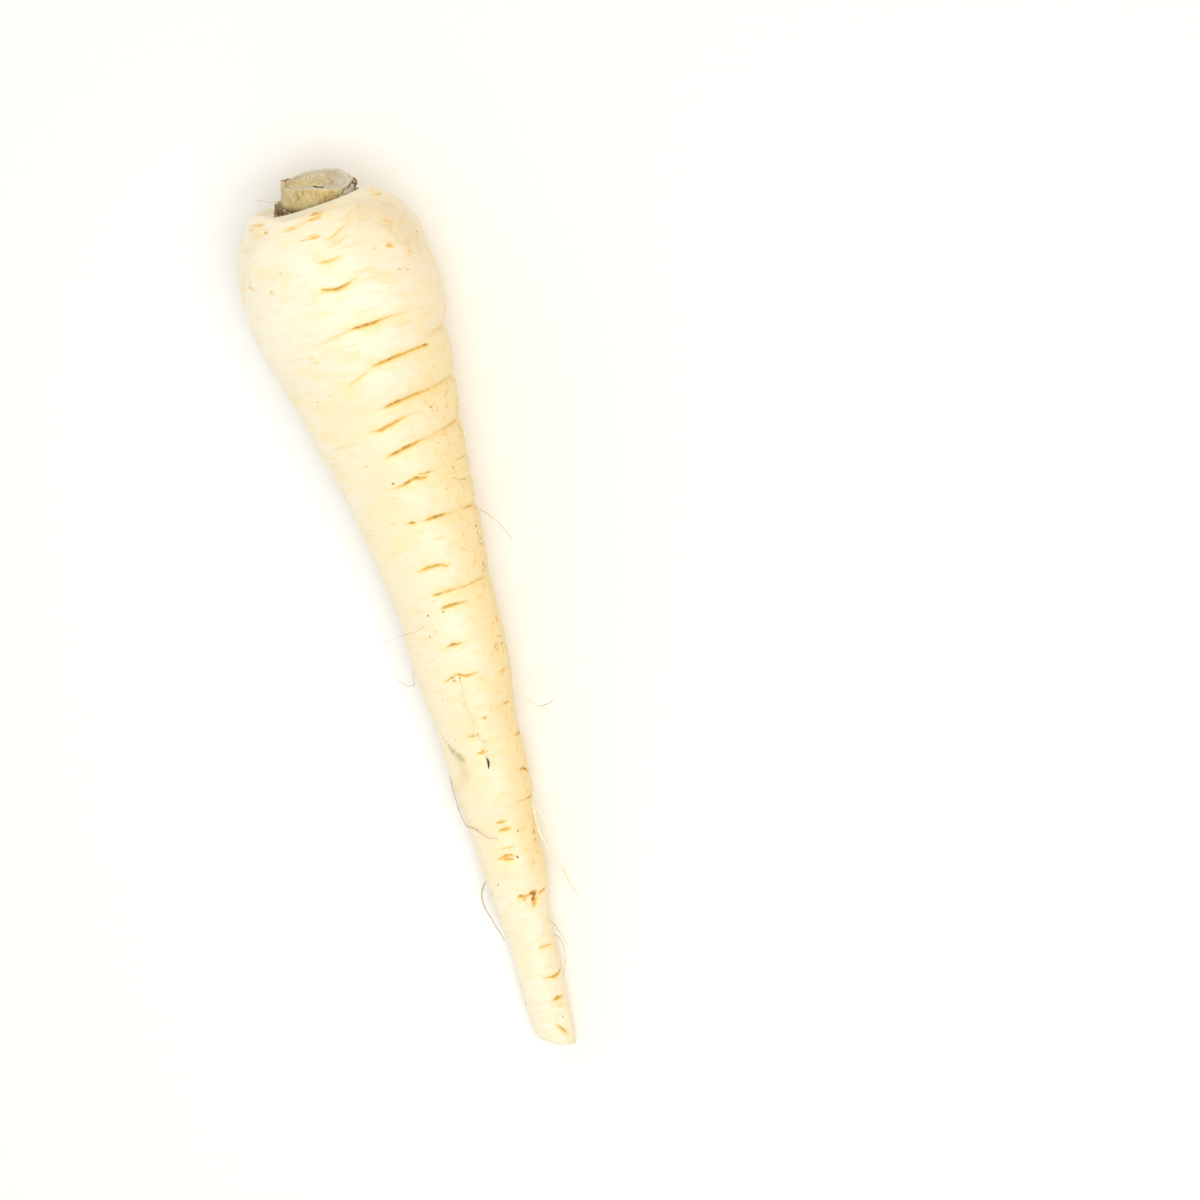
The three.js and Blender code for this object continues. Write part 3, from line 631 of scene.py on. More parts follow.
round_dots = {  # half size in mm, then rows of station, angle and strength
    0.3: [
        [6.2, -39, 0.7], [40.1, 5, 0.6], [48.3, 11, 0.6], [60.7, 42, 0.9], [61, 46, 0.9], [58.5, 46, 0.8],
        [60.4, 48, 0.8], [67.2, 55, 0.8], [66.3, 52, 0.7], [95, 10, 0.6], [97.8, 44, 0.7], [101.2, 56, 0.7],
        [116.1, 2, 0.5], [127.2, 52, 0.9], [121.6, 51, 0.6], [124.7, 43, 0.6], [128.2, -12, 0.6], [148.8, -33, 0.9],
        [148.9, 29, 0.7], [156.3, -37, 0.7], [170.7, 17, 0.6], [174.6, 43, 0.6], [208.7, 36, 0.6], [215, -7, 0.6],
    ],
    0.35: [
        [15.3, 73, 0.9], [69.5, 41, 0.8], [59.7, 42, 1.1], [88, 51, 1], [90.5, 12, 0.7], [101.1, -37, 0.6],
        [110, -8, 0.8], [113.7, -21, 1.4], [119.5, -25, 1], [137.6, -33, 0.9], [151.1, 10, 0.9], [148.3, -58, 1.1],
        [149.2, -53, 1.1], [197.6, -19, 0.6], [232.9, 39, 0.8],
    ],
}
dots += [[s, a, half, half, strength] for half, rows in round_dots.items() for s, a, strength in rows]
soiled = [
    [150.9, -49, 0.8, 0.8, 0.8], [152.2, -43, 0.8, 0.9, 1], [153.4, -35, 0.7, 0.9, 0.9],
    [154.6, -29, 0.8, 0.9, 0.6], [152.6, -42, 2, 1.8, 0.45], [154.6, -33, 1.4, 1.8, 0.4], [157.5, -34, 3, 2.2, 0.4],
    [161.5, -44, 4, 2.2, 0.35], [160, -28, 3, 1.6, 0.3], [168, -62, 9, 1.6, 0.3], [186, -58, 8, 1.5, 0.35],
    [196.9, 22, 0.5, 1.8, 0.5],
]
scuffed = [
    [5, 36, 3, 7, 1], [8, 55, 4, 7, 1.2], [13, 60, 5, 7, 1.1], [18, 66, 5, 6, 0.8], [5, -15, 1.6, 7, 0.5],
    [8, -50, 4, 6, 0.6], [10, 25, 4, 6, 0.4], [16, -62, 4, 6, 0.5], [80, 80, 40, 3, 0.6], [135, 78, 30, 3, 0.6],
]

# More dots and patches underneath and on the far side.
draw = draw_from(5)
far_dots = 150
far_patches = 60
for _ in range(far_dots):
    station, angle = 6 + 230 * draw(), 90 + 190 * draw()
    dots.append([station, angle, 0.3 + 0.2 * draw(), 0.3 + 0.3 * draw(), draw() ** 2])
for _ in range(far_patches):
    station, angle = 3 + 234 * draw(), 90 + 190 * draw()
    tan_patches.append([station, angle, 0.5 + 2 * draw(), 1 + 3 * draw(), 0.5 * draw()])


def marked(rows, small=False):
    """How strong the marks of a table are at each point of the grid."""
    total = np.zeros(placed.shape)
    for station, angle, half_length, half_width, strength in rows:
        along = placed - station
        round_it = np.radians(turn(angle, degrees)) * np.maximum(radii, 1)
        if small:  # set on the nearest point of the grid, so that it isn't lost between points
            row, column = np.unravel_index(np.argmin(np.hypot(along, round_it)), along.shape)
            along = along - along[row, column]
            round_it = round_it - round_it[row, column]
        total += strength * bell(along, half_length) * bell(round_it, half_width)
    return total


# The deep cracked scar near the tip: reddish brown where the flesh has split, with a tail towards the tip.
scar = marked([
    [196.3, 26, 0.6, 0.6, 0.9], [196.8, 33, 0.8, 0.9, 1.1], [198.1, 29, 0.7, 0.8, 1], [199.6, 30, 0.9, 0.5, 0.6],
    [196.6, 17, 0.3, 0.8, 0.7], [197.4, 10, 0.4, 0.9, 0.6], [184.3, -4, 0.4, 1.3, 0.6], [132.1, -6, 0.4, 0.8, 0.8],
])
everywhere = np.ones_like(placed)
outward = np.stack([np.sin(angles) * everywhere, 0 * scar, np.cos(angles) * everywhere], axis=-1)
points -= (0.5 * np.clip(scar, 0, 1) * relief)[..., None] * outward
ring_number = np.arange(len(rings))[:, None] * everywhere
# Painted highlight: pale streaks on the crests between the creases along the top, and near the tip.
painted_highlight_streak = bell(turn(20, degrees), 22) * (1 - crease_stain_and_painted_shade)
painted_highlight_streak *= np.interp(placed, [14, 26, 42, 52, 188, 206], [0, 1, 1, 0.55, 0.55, 0])
marks = {
    "across": across, "gold": gold, "dark": dark, "scar": scar, "tan": marked(tan_patches),
    "dots": marked(dots, small=True), "soil": marked(soiled), "scuff": marked(scuffed),
    "inside": fade(ring_number, last_inside, last_inside - 5),
    # Painted highlight: a bright line along the edge of the lip.
    "painted_lip_highlight": bell(radii - crown_radius + 0.1, 0.4) * (stations < 2) * everywhere,
    # Painted light: a paler band over the lip, which tilts away from the soft box.
    "lip": bell(radii - crown_radius - 0.8, 2) * (stations < 4) * everywhere,
    "cut_face": fade(ring_number, first_of_cut - 1, first_of_cut + 2),
    "core_ring": (ring_number >= first_of_cut) * bell(radii / tip_radius - 0.6, 0.12),
    # The right side's yellow, partly real yellow skin and partly a painted warm bounce of light.
    "yellow_right_and_painted_bounce": bell(turn(66, degrees), 34) * fade(placed, 34, 60) * (1 - 0.95 * fade(placed, 184, 200)),
    "crownward": 1 - fade(placed, 22, 62),
    "yellowing": np.interp(placed, [60, 110, 176, 198], [0, 0.9, 0.9, 0]) * (1 - 0.7 * bell(turn(5, degrees), 34)),
    # Painted light: the left side is painted paler and less yellow.
    "left_side_painted_light": bell(turn(-72, degrees), 34) * everywhere,
    # Painted shade in the valleys by the creases, together with their yellow stain.
    "crease_stain_and_painted_shade": crease_stain_and_painted_shade * bell(turn(45, degrees), 75, 4),
    # pale: a painted highlight on the crests and near the tip.
    "pale": painted_highlight_streak + bell(turn(36, degrees), 46) * fade(placed, 188, 206),
}
taproot = closed_skin(
    "taproot_skin", points, lying(0.0, hollow_depth, 0.0), lying(-0.1, root_length + 0.1, 0.0), marks)


def marks_on(tree, names):
    """The marks that a mesh holds at its points, by name."""
    return {name: node(tree, "Attribute", {}, out="Fac", attribute_name=name) for name in names}


def layered(colour, layers):
    """A colour with others laid over it in turn, each given as its share and the colour."""
    for share, laid_on in layers:
        colour = share.tint(colour, laid_on)
    return colour


def root_skin(tree):
    on = marks_on(tree, marks)
    slow = speckle(tree, 0.019, detail=2)
    mottle = speckle(tree, 0.0052, stretch=(1.5, 1, 1.5), detail=4, roughness=0.6)
    across_grain = speckle(tree, 0.0010, stretch=(7, 1, 7), detail=4, roughness=0.6)
    grain = speckle(tree, 0.0009, detail=4, roughness=0.6)
    blotch = speckle(tree, 0.0021, detail=4, roughness=0.7)
    smear = speckle(tree, 0.0026, detail=3, roughness=0.6)
    beads = speckle(tree, 0.0017, detail=3, roughness=0.65)

    # Cream skin, in slow drifts of paler and yellower flesh, with faint streaks across. Over it lies painted light:
    # a paler left side, a warm painted bounce on the yellow right side, painted shade in the valleys by the creases,
    # and a painted highlight on the crests between them.
    colour = layered(slow.ramp(0.36, 0.64).tint((0.91, 0.835, 0.65), (0.91, 0.80, 0.55)), [
        [on["crownward"] * 0.6, (0.925, 0.885, 0.745)],
        [on["left_side_painted_light"] * 0.6, (0.945, 0.885, 0.70)],
        [on["yellowing"] * blotch.ramp(0.3, 0.65, 0.35, 0.75), (0.90, 0.785, 0.52)],
        [on["pale"] * blotch.ramp(0.35, 0.6, 0.9, 0.6), (0.95, 0.945, 0.85)],
        [on["crease_stain_and_painted_shade"] * blotch.ramp(0.35, 0.65, 0.3, 0.7), (0.93, 0.81, 0.50)],
        [on["yellow_right_and_painted_bounce"] * blotch.ramp(0.38, 0.6, 0.5, 1), (0.93, 0.785, 0.44)],
        [mottle.ramp(0.48, 0.68, 0, 0.6), (0.93, 0.79, 0.46)],
        [on["yellow_right_and_painted_bounce"] * blotch.ramp(0.55, 0.65, 0, 0.7), (0.86, 0.58, 0.22)],
        [across_grain.ramp(0.5, 0.74, 0, 0.5), (0.88, 0.71, 0.38)],
    ])

    # A painted pale band of light on the lip, then scuffs, tan patches and grey soil rubbed into the skin.
    broken = grain * 0.6 + blotch * 1.4
    scuff = on["scuff"] * broken
    patch = on["tan"] * broken * across_grain.ramp(0.4, 0.6, 0.4, 1.6)
    colour = layered(colour, [
        [on["lip"] * 0.7, (0.98, 0.94, 0.79)],
        [scuff.ramp(0.2, 1.3, 0, 0.45), (0.80, 0.68, 0.46)],
        [on["scuff"] * smear.ramp(0.5, 0.66, 0, 0.4), (0.82, 0.60, 0.32)],
        [patch.ramp(0.08, 0.5, 0, 0.45), (0.92, 0.76, 0.42)],
        [patch.ramp(0.3, 0.9, 0, 0.8), (0.88, 0.57, 0.16)],
        [patch.ramp(0.9, 1.5, 0, 0.75), (0.72, 0.36, 0.07)],
        [(on["soil"] * broken).ramp(0.05, 1.3, 0, 0.75), (0.50, 0.41, 0.19)],
    ])

    # The line in a crease: a gold band that is widest where it is strongest, in a soft yellow stain, with a dark
    # thread along its crownward edge: a brown scar line, darkened with painted shade where the flesh folds over it.
    shaken = on["across"] + (grain - 0.5) * 0.75
    gold = on["gold"] * (broken * 0.5 + 0.5)
    dark = on["dark"] * (broken * 0.5 + 0.5)
    glow = abs(shaken - 0.3).ramp(0, 1.7, 1, 0) * gold
    band = (abs(shaken - gold * 0.22) / (gold * 0.36 + 0.11)).ramp(1.4, 0.2)
    gold_colour = gold.ramp(0.35, 1).tint((0.86, 0.62, 0.24), (0.74, 0.44, 0.07))
    thread_core = (abs(shaken) / (dark * 0.24 + 0.05)).ramp(1.8, 0.3)
    beaded = dark * beads.ramp(0.43, 0.58, 0.2, 1.15)
    dark_thread_and_fold_shade = thread_core * beaded.ramp(0.05, 0.95, 0, 0.72)
    colour = layered(colour, [
        [glow.ramp(0, 0.9, 0, 0.8), (0.93, 0.74, 0.34)],
        [band * gold.ramp(0, 0.75, 0, 0.95), gold_colour],
        [dark_thread_and_fold_shade, (0.36, 0.18, 0.03)],
    ])

    # Scars, dots, a painted highlight on the crown's lip, the brown hollow inside it, and the cut tip's bare flesh.
    split = on["scar"] * broken
    cracked = node(tree, "TexVoronoi", {"Scale": 1400.0}, feature="DISTANCE_TO_EDGE")
    crack = cracked.ramp(0.02, 0.14, 1, 0) * split.ramp(0.5, 1)
    pores = node(tree, "TexVoronoi", {"Scale": 420.0, "Randomness": 1.0}, feature="F1")
    pore = pores.ramp(0.06, 0.14, 1, 0) * mottle.ramp(0.52, 0.62, 0, 0.7)
    dot = (on["dots"] + (grain - 0.5) * 0.5).ramp(0.3, 0.8)
    cut_flesh = grain.ramp(0.4, 0.6).tint((0.93, 0.87, 0.68), (0.84, 0.73, 0.47))
    colour = layered(colour, [
        [split.ramp(0.05, 0.4, 0, 0.6), (0.88, 0.58, 0.22)],
        [split.ramp(0.4, 0.95, 0, 0.9), (0.60, 0.24, 0.05)],
        [crack * 0.8, (0.16, 0.05, 0.015)],
        [pore, (0.5, 0.36, 0.17)],
        [dot * 0.9, on["dots"].ramp(0.6, 1.2).tint((0.55, 0.34, 0.10), (0.15, 0.08, 0.02))],
        [on["painted_lip_highlight"].ramp(0.1, 0.7, 0, 0.9), (1.0, 0.93, 0.72)],
        [on["inside"], grain.tint((0.2, 0.1, 0.035), (0.45, 0.3, 0.13))],
        [on["cut_face"] * 0.8, (on["core_ring"] * 0.7).tint(cut_flesh, (0.78, 0.60, 0.30))],
    ])

    # Waxy where it is clean, dull where it is stained. The finest wrinkles and pores are in the bump.
    height = across_grain * 0.7 + grain * 0.3 - dark_thread_and_fold_shade * 0.8 - (crack + pore) * 0.5
    return {
        "Base Color": colour,
        "Roughness": (glow + patch + (split + scuff)).ramp(0, 1.4, 0.42, 0.7),
        "Specular IOR Level": 0.4,
        "Subsurface Weight": 0.25,
        "Subsurface Radius": (1.0, 0.62, 0.32),
        "Subsurface Scale": 1.6 * mm,
        "Normal": node(tree, "Bump", {"Strength": 0.35, "Distance": 0.25 * mm, "Height": height}),
    }


taproot.data.materials.append(finish("root_skin", root_skin))
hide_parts("taproot")
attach(taproot, "root")


# ---- Rootlets and hairs ----
# Thin side roots that grew out of the creases, now dry: cream threads that taper to nothing, one of them forked, and
# a few finer brown hairs. Each starts inside the flesh. A black sliver of old seed husk is stuck to the skin.
def thread(name, path, thickness, kink=0.12, flat=1.0):
    """A thread through points given as [side, station, above], with its radius at even steps along it."""
    rings_per_step = 14
    corners = 8
    count = rings_per_step * (len(path) - 1)
    line_of = through([lying(*map(float, p)) for p in path], count)
    shake = np.array([noise.noise_vector(Vector(p) / 2.3) for p in line_of])
    line_of = line_of + kink * shake * np.linspace(0, 1, count)[:, None]
    ahead = np.gradient(line_of, axis=0)
    ahead /= np.linalg.norm(ahead, axis=1)[:, None]
    across_it = np.cross(ahead, [0.13, 0.21, 0.97])
    across_it /= np.linalg.norm(across_it, axis=1)[:, None]
    third = np.cross(ahead, across_it)
    radius = np.interp(np.linspace(0, 1, count), np.linspace(0, 1, len(thickness)), thickness)
    radius = radius * (1 + 0.12 * np.sin(np.arange(count) * 1.7 + thickness[0] * 40))
    around = np.arange(corners) / corners * 2 * math.pi
    to_sides = np.cos(around)[:, None] * across_it[:, None] + flat * np.sin(around)[:, None] * third[:, None]
    grid = line_of[:, None] + radius[:, None, None] * to_sides
    grid[..., 2] = np.maximum(grid[..., 2], 0)
    return closed_skin(name, grid, line_of[0], line_of[-1])


def rootlet_skin(tree):
    grain = speckle(tree, 0.0012, detail=3)
    return {
        "Base Color": grain.ramp(0.4, 0.7).tint((0.94, 0.89, 0.76), (0.88, 0.76, 0.54)),
        "Roughness": grain.ramp(0.3, 0.7, 0.5, 0.75),
        "Normal": node(tree, "Bump", {"Strength": 0.3, "Distance": 0.1 * mm, "Height": grain}),
    }


def dry_hair(tree):
    grain = speckle(tree, 0.002, detail=3)
    colour = grain.ramp(0.35, 0.65).tint((0.44, 0.33, 0.21), (0.64, 0.53, 0.38))
    return {"Base Color": colour, "Roughness": grain.ramp(0.3, 0.7, 0.6, 0.8)}


def husk(tree):
    grain = speckle(tree, 0.0006, detail=3)
    colour = grain.ramp(0.35, 0.7).tint((0.012, 0.009, 0.006), (0.09, 0.06, 0.03))
    return {"Base Color": colour, "Roughness": grain.ramp(0.3, 0.7, 0.45, 0.7)}


noise.seed_set(3)  # so that the threads' kinks come out the same each time
# Name, radius at even steps along it, and its path as [side, station, above].
rootlets = [
    ["rootlet_1", [0.46, 0.4, 0.36, 0.32, 0.2], [
        [8.4, 171.6, -1], [10.9, 174, 0.2], [10.8, 180, 1], [12.2, 187, 2], [14.6, 194, 3], [16.4, 202, 2.4]]],
    ["rootlet_1_fork", [0.3, 0.2, 0.12], [[8.6, 172.4, 0.4], [11.9, 175, 1.6], [12.8, 179, 2.2], [12, 184.5, 2.8]]],
    ["rootlet_2", [0.3, 0.26, 0.17], [
        [11.6, 137, 1], [15, 140, 0.8], [17.6, 144.9, 1.4], [20.2, 147.6, 2], [23, 149.4, 2.2]]],
    ["rootlet_4", [0.6, 0.34, 0.2, 0.2, 0.2, 0.14], [
        [1.5, 131.5, 11.4], [1.7, 134.5, 12.6], [1.6, 140, 12.2], [2.6, 146, 11.8], [2.3, 149, 11.7],
        [3.6, 151.5, 11.4], [3.3, 154, 11.3], [3.9, 157, 11]]],
    ["rootlet_5", [0.35, 0.15], [[-4, 118, -10.5], [-6.4, 121, -12.4], [-7.6, 126, -12.2], [-8, 132, -10.6]]],
    ["rootlet_6", [0.35, 0.15], [[-9, 72, -12.5], [-11, 76, -15.4], [-11.4, 82, -13.6], [-10.6, 90, -11.6]]],
    ["rootlet_7", [0.35, 0.15], [[6.5, 152, -7.5], [8.6, 155, -9.6], [9.4, 160, -9.4], [9.2, 167, -8.8]]],
]
hairs = [
    ["hair_fork", [0.12, 0.05], [[20.2, 147.6, 2], [22.6, 147.4, 2.4], [24.4, 146.6, 3]]],
    ["hair_brown_1", [0.11, 0.05], [[15, 89, 3], [18.6, 90.6, 4], [22.4, 94.8, 4.4], [25.4, 101.2, 4]]],
    ["hair_brown_2", [0.1, 0.05], [
        [-9, 128.6, 1], [-10.4, 130.1, 1.6], [-10.9, 132.9, 2], [-13, 132.4, 2.4], [-15.2, 129.6, 2]]],
    ["hair_brown_3", [0.14, 0.12, 0.07], [
        [-8.2, 160, 2.5], [-8.6, 165, 2.2], [-7.7, 174.1, 3], [-5.4, 174.8, 6.6], [-4, 176, 8], [-2, 177.8, 9.1],
        [0.4, 178.4, 9.3]]],
    ["hair_grey", [0.22, 0.18, 0.1], [
        [-5.4, 190, 1], [-8.2, 193, 1.4], [-9.2, 196.5, 1.6], [-8.2, 201.6, 1.6], [-6.4, 209, 0.6]]],
    ["hair_tip_1", [0.11, 0.05], [[6.3, 206, 1], [7.5, 207, 1.5], [8.9, 210, 2], [10, 215.2, 2]]],
    ["hair_tip_2", [0.1, 0.04], [[6.2, 210, 0.5], [8.6, 212.7, 1.2], [8.4, 218.4, 1.4], [6.6, 222.7, 2]]],
    ["hair_crown", [0.11, 0.05], [[-8.4, 1.6, 3], [-10, -1.2, 3.6], [-12.4, -2, 4], [-15, -3.4, 4.4]]],
    ["hair_side", [0.06, 0.03], [[-2.7, 116, 13.3], [-6, 117, 12.1], [-10.3, 118, 7.6], [-16.7, 119.5, 4]]],
]
slivers = [
    ["seed_husk", [0.06, 0.24, 0.32, 0.3, 0.22, 0.05], [[3.3, 155, 11.15], [3.5, 156.4, 11.15], [3, 158.6, 11.1]]],
]
for made_of, threads, flat in (rootlet_skin, rootlets, 1), (dry_hair, hairs, 1), (husk, slivers, 0.5):
    material = finish(made_of.__name__, made_of)
    for name, thickness, path in threads:
        piece = thread(name, path, thickness, flat=flat)
        piece.data.materials.append(material)
        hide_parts("taproot")
        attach(piece, "root")


# ---- The cut leaf stalks ----
# The bases of the leaves, wrapped round each other and cut across with a knife a day or more ago: tough ribbed flesh,
# dull olive and tan, dried grey at the rim. They stand in the crown's hollow and lean to the side and upward.
stub_radius = 9.2
stub_height = 9.7
seat_gap = 0.3
stub_shift = -1.4
stub_lean_side = math.radians(13.5)
stub_lean_up = math.radians(10.5)
cut_lean_side = math.radians(12.5)
cut_lean_up = math.radians(14.9)


def cut_wave(radius, angle):
    """How far the cut stands out: proud on top and low down on the +X side, and dipping low down on the -X side."""
    spots = (-8, 30), (138, 35), (-130, 32)
    top, right, left = (bell(turn(middle, np.degrees(angle)), width) for middle, width in spots)
    return radius / stub_radius * (0.95 * top + 0.8 * right - 0.9 * left)


def stub_point(height, radius, angle):
    side, above = radius * np.sin(angle), radius * np.cos(angle)
    seated = leaning(hollow_depth + 0 * side, side, above) - hollow_depth
    leant = side * math.sin(cut_lean_side) + above * math.sin(cut_lean_up)
    tilt = seated + (leant - seated) * fade(height, 0.5, 4.5)
    drift = np.maximum(0, height - 1)
    return lying(
        stub_shift + side + drift * math.tan(stub_lean_side),
        hollow_depth - seat_gap - height - fade(height, 4, stub_height) * cut_wave(radius, angle) + tilt,
        above + drift * math.tan(stub_lean_up),
    )


stub_segments = 200
side_rings = 60
face_rings = 100
stub_angles = (np.arange(stub_segments) / stub_segments * 2 * math.pi)[None, :]
stub_degrees = np.degrees(stub_angles)
all_round = np.ones_like(stub_angles)
# Height, radius, and how much of the ribs and of the roughness the ring has.
side_line = [[0.12, 5.5, 0], [0.55, 8.4, 0.3], [1.5, 9.2, 1], [3, stub_radius + 0.2, 1], [5, stub_radius, 1]]
side_line += [[7, stub_radius - 0.1, 1], [stub_height - 0.4, stub_radius, 1]]
rim_row = len(side_line) - 1
face_line = [[0, -0.25, 1], [-0.02, -0.6, 0.9], [-0.15, -0.85, 0.8], [-0.5, -1.5, 0.8], [-0.2, -2.2, 0.6]]
face_line += [[-0.1, -4.2, 0.6], [-0.45, -5, 0.4], [-0.15, -5.9, 0.3], [-0.2, -7.6, 0.2], [-0.3, -8.9, 0]]
line_rows = side_line + [[stub_height + h, stub_radius + r, share] for h, r, share in face_line]
knots = np.arange(len(line_rows), dtype=float)
over_face = np.linspace(rim_row, len(line_rows) - 1, face_rings)
places = np.concatenate([np.linspace(0, rim_row, side_rings)[:-1], over_face])
heights, stub_radii, ribbed = (np.interp(places, knots, np.array(line_rows)[:, k])[:, None] for k in range(3))

on_face = fade(places, rim_row + 0.2, rim_row + 0.9)[:, None] * all_round
old_base = 0.5 * bell(turn(-72, stub_degrees), 26) * (1 - fade(heights, 3, 6.2)) * fade(heights, 0.6, 2)
ribs = 0.2 * np.cos(7 * stub_angles + 0.6) + 0.14 * np.cos(4 * stub_angles - 1)


def round_noise(angle, height, size):
    """Unevenness round the stalks and along them."""
    return noise.noise(Vector((size * math.sin(angle), size * math.cos(angle), height)))


fibre = np.array([
    [round_noise(a, h / 9, 3.2) + 0.5 * round_noise(a, h / 7, 9) for a in stub_angles[0]] for h in heights[:, 0]])
bent = stub_radii + ribbed * (ribs + old_base + 0.16 * fibre * (1 - on_face))
stub_grid = stub_point(heights * all_round, bent, stub_angles)
rough = np.array([noise.fractal(Vector(p) / 1.6, 1.0, 2.1, 4) for p in stub_grid.reshape(-1, 3)])
rough = rough.reshape(on_face.shape)


def on_cut(angle, radius, half_round, half_out):
    """A soft spot on the cut face, at an angle and a radius, with its half sizes round and outward in mm."""
    round_it = np.radians(turn(angle, stub_degrees)) * stub_radii / half_round
    return on_face * bell(round_it, 1) * bell(stub_radii - radius, half_out)


slit_round = np.radians(turn(6, stub_degrees)) * stub_radii
slit = on_face * bell(np.hypot(slit_round / 1.25, (stub_radii - 5.7) / 0.85), 1, 3)
knob = on_cut(-92, 7.6, 2.4, 1.7)
into = np.array([0, -math.cos(rest_pitch), -math.sin(rest_pitch)])
stub_grid = stub_grid + (0.35 * slit - 1.3 * knob + 0.24 * rough * on_face)[..., None] * into
stub_marks = {
    "on_face": on_face, "slit": slit, "knob": knob, "olive": on_cut(-60, 2.4, 5, 3.4),
    # Painted shade down in the hollow, over the brown of the old base at the foot of the stalks.
    "foot": fade(heights, 5.0, 3.4) * bell(turn(-60, stub_degrees), 62) * (1 - on_face),
    "to_right": stub_radii * np.sin(stub_angles) / stub_radius,
    "to_front": stub_radii * np.cos(stub_angles) / stub_radius,
    "arc_out": stub_radii * (1 + 0.08 * np.sin(3 * stub_angles + 1)),
    "rim": on_face * bell(stub_radii - stub_radius + 0.5, 0.5) * (0.25 + 0.75 * bell(turn(8, stub_degrees), 48)),
    "band": on_face * bell(turn(14, stub_degrees), 50, 4) * bell(stub_radii - 6.2, 2.1, 4),
    # height also sets the painted shade that darkens the stalks toward the root.
    "height": heights / stub_height * all_round,
}
stub_piece = closed_skin(
    "leaf_stalks", stub_grid, stub_point(0.0, 0.0, 0.0), stub_point(stub_height - 0.35, 0.0, 0.0), stub_marks)


def stalk_flesh(tree):
    on = marks_on(tree, stub_marks)
    along = speckle(tree, 0.0011, stretch=(1, 6, 1), detail=4, roughness=0.6)
    broad = speckle(tree, 0.0028, stretch=(1, 2.0, 1), detail=3)
    grain = speckle(tree, 0.0007, detail=4, roughness=0.65)
    clump = speckle(tree, 0.0019, detail=4, roughness=0.6)

    # The side: pinkish beige at the left, olive and brown in the middle, grey green to the right.
    side = layered(broad.ramp(0.42, 0.6).tint((0.63, 0.53, 0.27), (0.49, 0.34, 0.12)), [
        [on["to_right"].ramp(-0.55, -0.85, 0, 0.6), (0.67, 0.54, 0.35)],
        [on["to_right"].ramp(0.35, 0.75, 0, 0.6), (0.50, 0.48, 0.35)],
        [clump.ramp(0.54, 0.68, 0, 0.65), (0.34, 0.21, 0.07)],
        [along.ramp(0.5, 0.72, 0, 0.45), (0.78, 0.71, 0.46)],
        [grain.ramp(0.54, 0.68, 0, 0.4), (0.22, 0.14, 0.06)],
    ])

    # The face: olive yellow in the middle, dried blue grey to the right and at the back, with a pale rim.
    round_it = node(tree, "CombineXYZ", {"X": on["to_right"], "Y": on["to_front"], "Z": on["arc_out"]})
    arcs = node(tree, "TexNoise", {"Vector": round_it, "Scale": 1.1, "Detail": 4.0, "Roughness": 0.65})
    bark = clump.ramp(0.42, 0.58).tint((0.30, 0.20, 0.09), (0.66, 0.54, 0.34))
    face = layered(arcs.ramp(0.4, 0.6).tint((0.52, 0.44, 0.25), (0.76, 0.69, 0.48)), [
        [clump.ramp(0.42, 0.6, 0, 0.4), (0.72, 0.66, 0.5)],
        [grain.ramp(0.5, 0.64, 0, 0.7), (0.34, 0.26, 0.14)],
        [on["olive"] * broad.ramp(0.35, 0.6, 0.4, 1), (0.74, 0.63, 0.28)],
        [on["to_right"].ramp(0.25, 0.95, 0, 0.75), (0.70, 0.70, 0.64)],
        [on["to_front"].ramp(-0.5, -0.95, 0, 0.7), (0.66, 0.66, 0.60)],
        [on["band"] * 0.7, (0.63, 0.60, 0.54)],
        [clump.ramp(0.56, 0.68, 0, 0.6), (0.44, 0.33, 0.2)],
        [grain.ramp(0.42, 0.3, 0, 0.5), (0.84, 0.72, 0.60)],
        [on["knob"].ramp(0.15, 0.7, 0, 0.9), bark],
        [on["rim"] * clump.ramp(0.35, 0.6, 1, 0.4), (0.86, 0.82, 0.70)],
    ])

    # Painted shade: both grow dark toward the root, down in the crown's hollow, and black in the slit; at the foot
    # the shade lies over the brown of the old base.
    colour = layered(side, [
        [on["on_face"], face],
        [on["foot"] * clump.ramp(0.3, 0.6, 0.6, 1) * 0.9, (0.12, 0.06, 0.025)],
        [on["height"].ramp(0.6, 0.4) * 0.8, (0.14, 0.08, 0.03)],
        [on["slit"].ramp(0.1, 0.35), (0.03, 0.02, 0.01)],
    ])
    return {
        "Base Color": colour,
        "Roughness": grain.ramp(0.3, 0.7, 0.62, 0.88),
        "Specular IOR Level": 0.3,
        "Normal": node(tree, "Bump", {"Strength": 0.5, "Distance": 0.3 * mm, "Height": along * 0.6 + grain}),
    }


stub_piece.data.materials.append(finish("stalk_flesh", stalk_flesh))


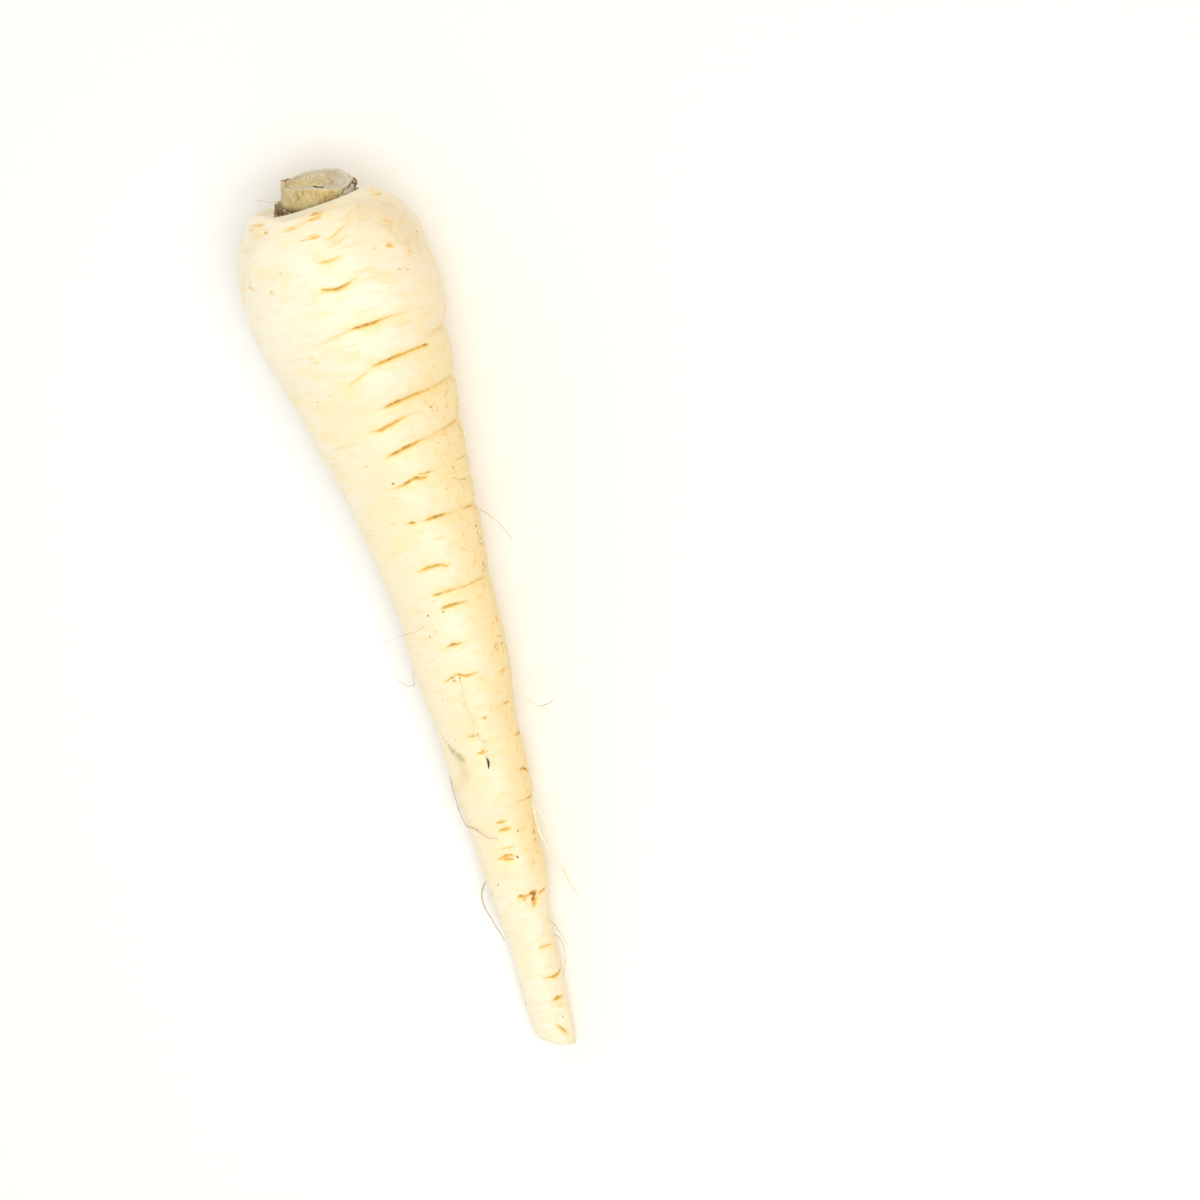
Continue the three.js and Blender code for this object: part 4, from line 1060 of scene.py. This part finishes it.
def scale_leaf(name, start, end, base, tops, radius, flare, thickness, torn, seed):
    """A dried scale that wraps part of the way round the stalks, between two angles in degrees. Its height is given
    at even steps round it, and torn says how ragged its edge is."""
    rings_per_degree = 1.1
    rows = 12
    share = np.linspace(0, 1, int(abs(end - start) * rings_per_degree))
    degrees_of = start + (end - start) * share
    coarse = np.array([noise.noise(Vector((d / 4.1, seed, 0))) for d in degrees_of])
    ragged = coarse + np.array([0.7 * noise.noise(Vector((d / 1.3, seed, 5))) for d in degrees_of])
    from_ends = np.clip(6 * np.minimum(share, 1 - share), 0, 1)
    top = np.interp(share, np.linspace(0, 1, len(tops)), tops) + torn * ragged * from_ends
    loops = []
    for d, height in zip(degrees_of, np.maximum(top, base + 0.4)):
        up = np.linspace(base, height, rows)
        lumps = np.array([noise.noise(Vector((d / 9, seed, h / 1.5))) for h in up])
        out = radius + 0.3 * lumps + flare * (up - base)
        around = math.radians(d)
        half = thickness / 2 * np.sqrt(1 - 0.8 * np.linspace(-0.3, 1, rows) ** 2)
        outer = stub_point(up, out + half, around + 0 * up)
        inner = stub_point(up[::-1], (out - half)[::-1], around + 0 * up)
        loops.append(np.concatenate([outer, inner]))
    loops = np.array(loops)
    return closed_skin(name, loops, loops[0].mean(axis=0), loops[-1].mean(axis=0))


def dried_scale(dark, light):
    """The look of a dried scale: dark and light fibres along it, blurred in places."""
    def build(tree):
        along = speckle(tree, 0.0006, stretch=(1, 7, 1), detail=4, roughness=0.65)
        clump = speckle(tree, 0.0018, detail=3)
        halfway = [0.5 * (a + b) for a, b in zip(dark, light)]
        return {
            "Base Color": clump.ramp(0.55, 0.7, 0, 0.6).tint(along.ramp(0.38, 0.62).tint(dark, light), halfway),
            "Roughness": along.ramp(0.3, 0.7, 0.7, 0.92),
            "Normal": node(tree, "Bump", {"Strength": 0.6, "Distance": 0.25 * mm, "Height": along}),
        }
    return build


grey_scale = finish("grey_scale", dried_scale((0.40, 0.37, 0.29), (0.64, 0.63, 0.55)))
olive_scale = finish("olive_scale", dried_scale((0.20, 0.14, 0.045), (0.46, 0.39, 0.17)))
brown_fringe = finish("brown_fringe", dried_scale((0.06, 0.03, 0.012), (0.36, 0.22, 0.11)))
# Name, material, angles it spans, height of its base, heights of its edge, radius, flare, thickness and how torn.
scales = [
    ["grey_scale_right", grey_scale, 22, 112, 3, [5.6, 8, 9.2, 9.4, 9.3, 9, 7.6], 9.8, 0.0, 0.25, 0.6],
    ["olive_scale_left", olive_scale, -122, -50, 2.2, [3, 3.8, 4.5, 4.7, 4.3, 3.7, 3], 10.6, -0.4, 1.7, 0.3],
    ["pale_scale_left", grey_scale, -60, -38, 3, [3.6, 4.9, 4.1, 4.8, 3.6], 10.3, 0.1, 0.3, 0.7],
    ["brown_fringe_left", brown_fringe, -128, -2, 2.2, [3, 3.7, 4.1, 4.1, 3.9, 3.4], 10.5, 0.1, 0.6, 0.6],
    ["brown_fringe_under", brown_fringe, 118, 232, 2.2, [5, 5.4, 5.2, 5.6, 4.8], 9.9, 0.05, 0.3, 1.1],
]
stalk_pieces = [stub_piece]
for number, (name, material, *sizes) in enumerate(scales):
    piece = scale_leaf(name, *sizes, 3.7 * number)
    piece.data.materials.append(material)
    stalk_pieces.append(piece)
flake_path = [[9.8, 0.6, 3.2], [10.9, -1.4, 3.8], [10.4, -2.6, 4.6]]
flake = thread("dry_flake", flake_path, [0.12, 0.36, 0.3, 0.08], flat=0.4)
flake.data.materials.append(brown_fringe)
stalk_pieces.append(flake)
for piece in stalk_pieces:
    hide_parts("leaf_stalk_stub")
    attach(piece, "root")
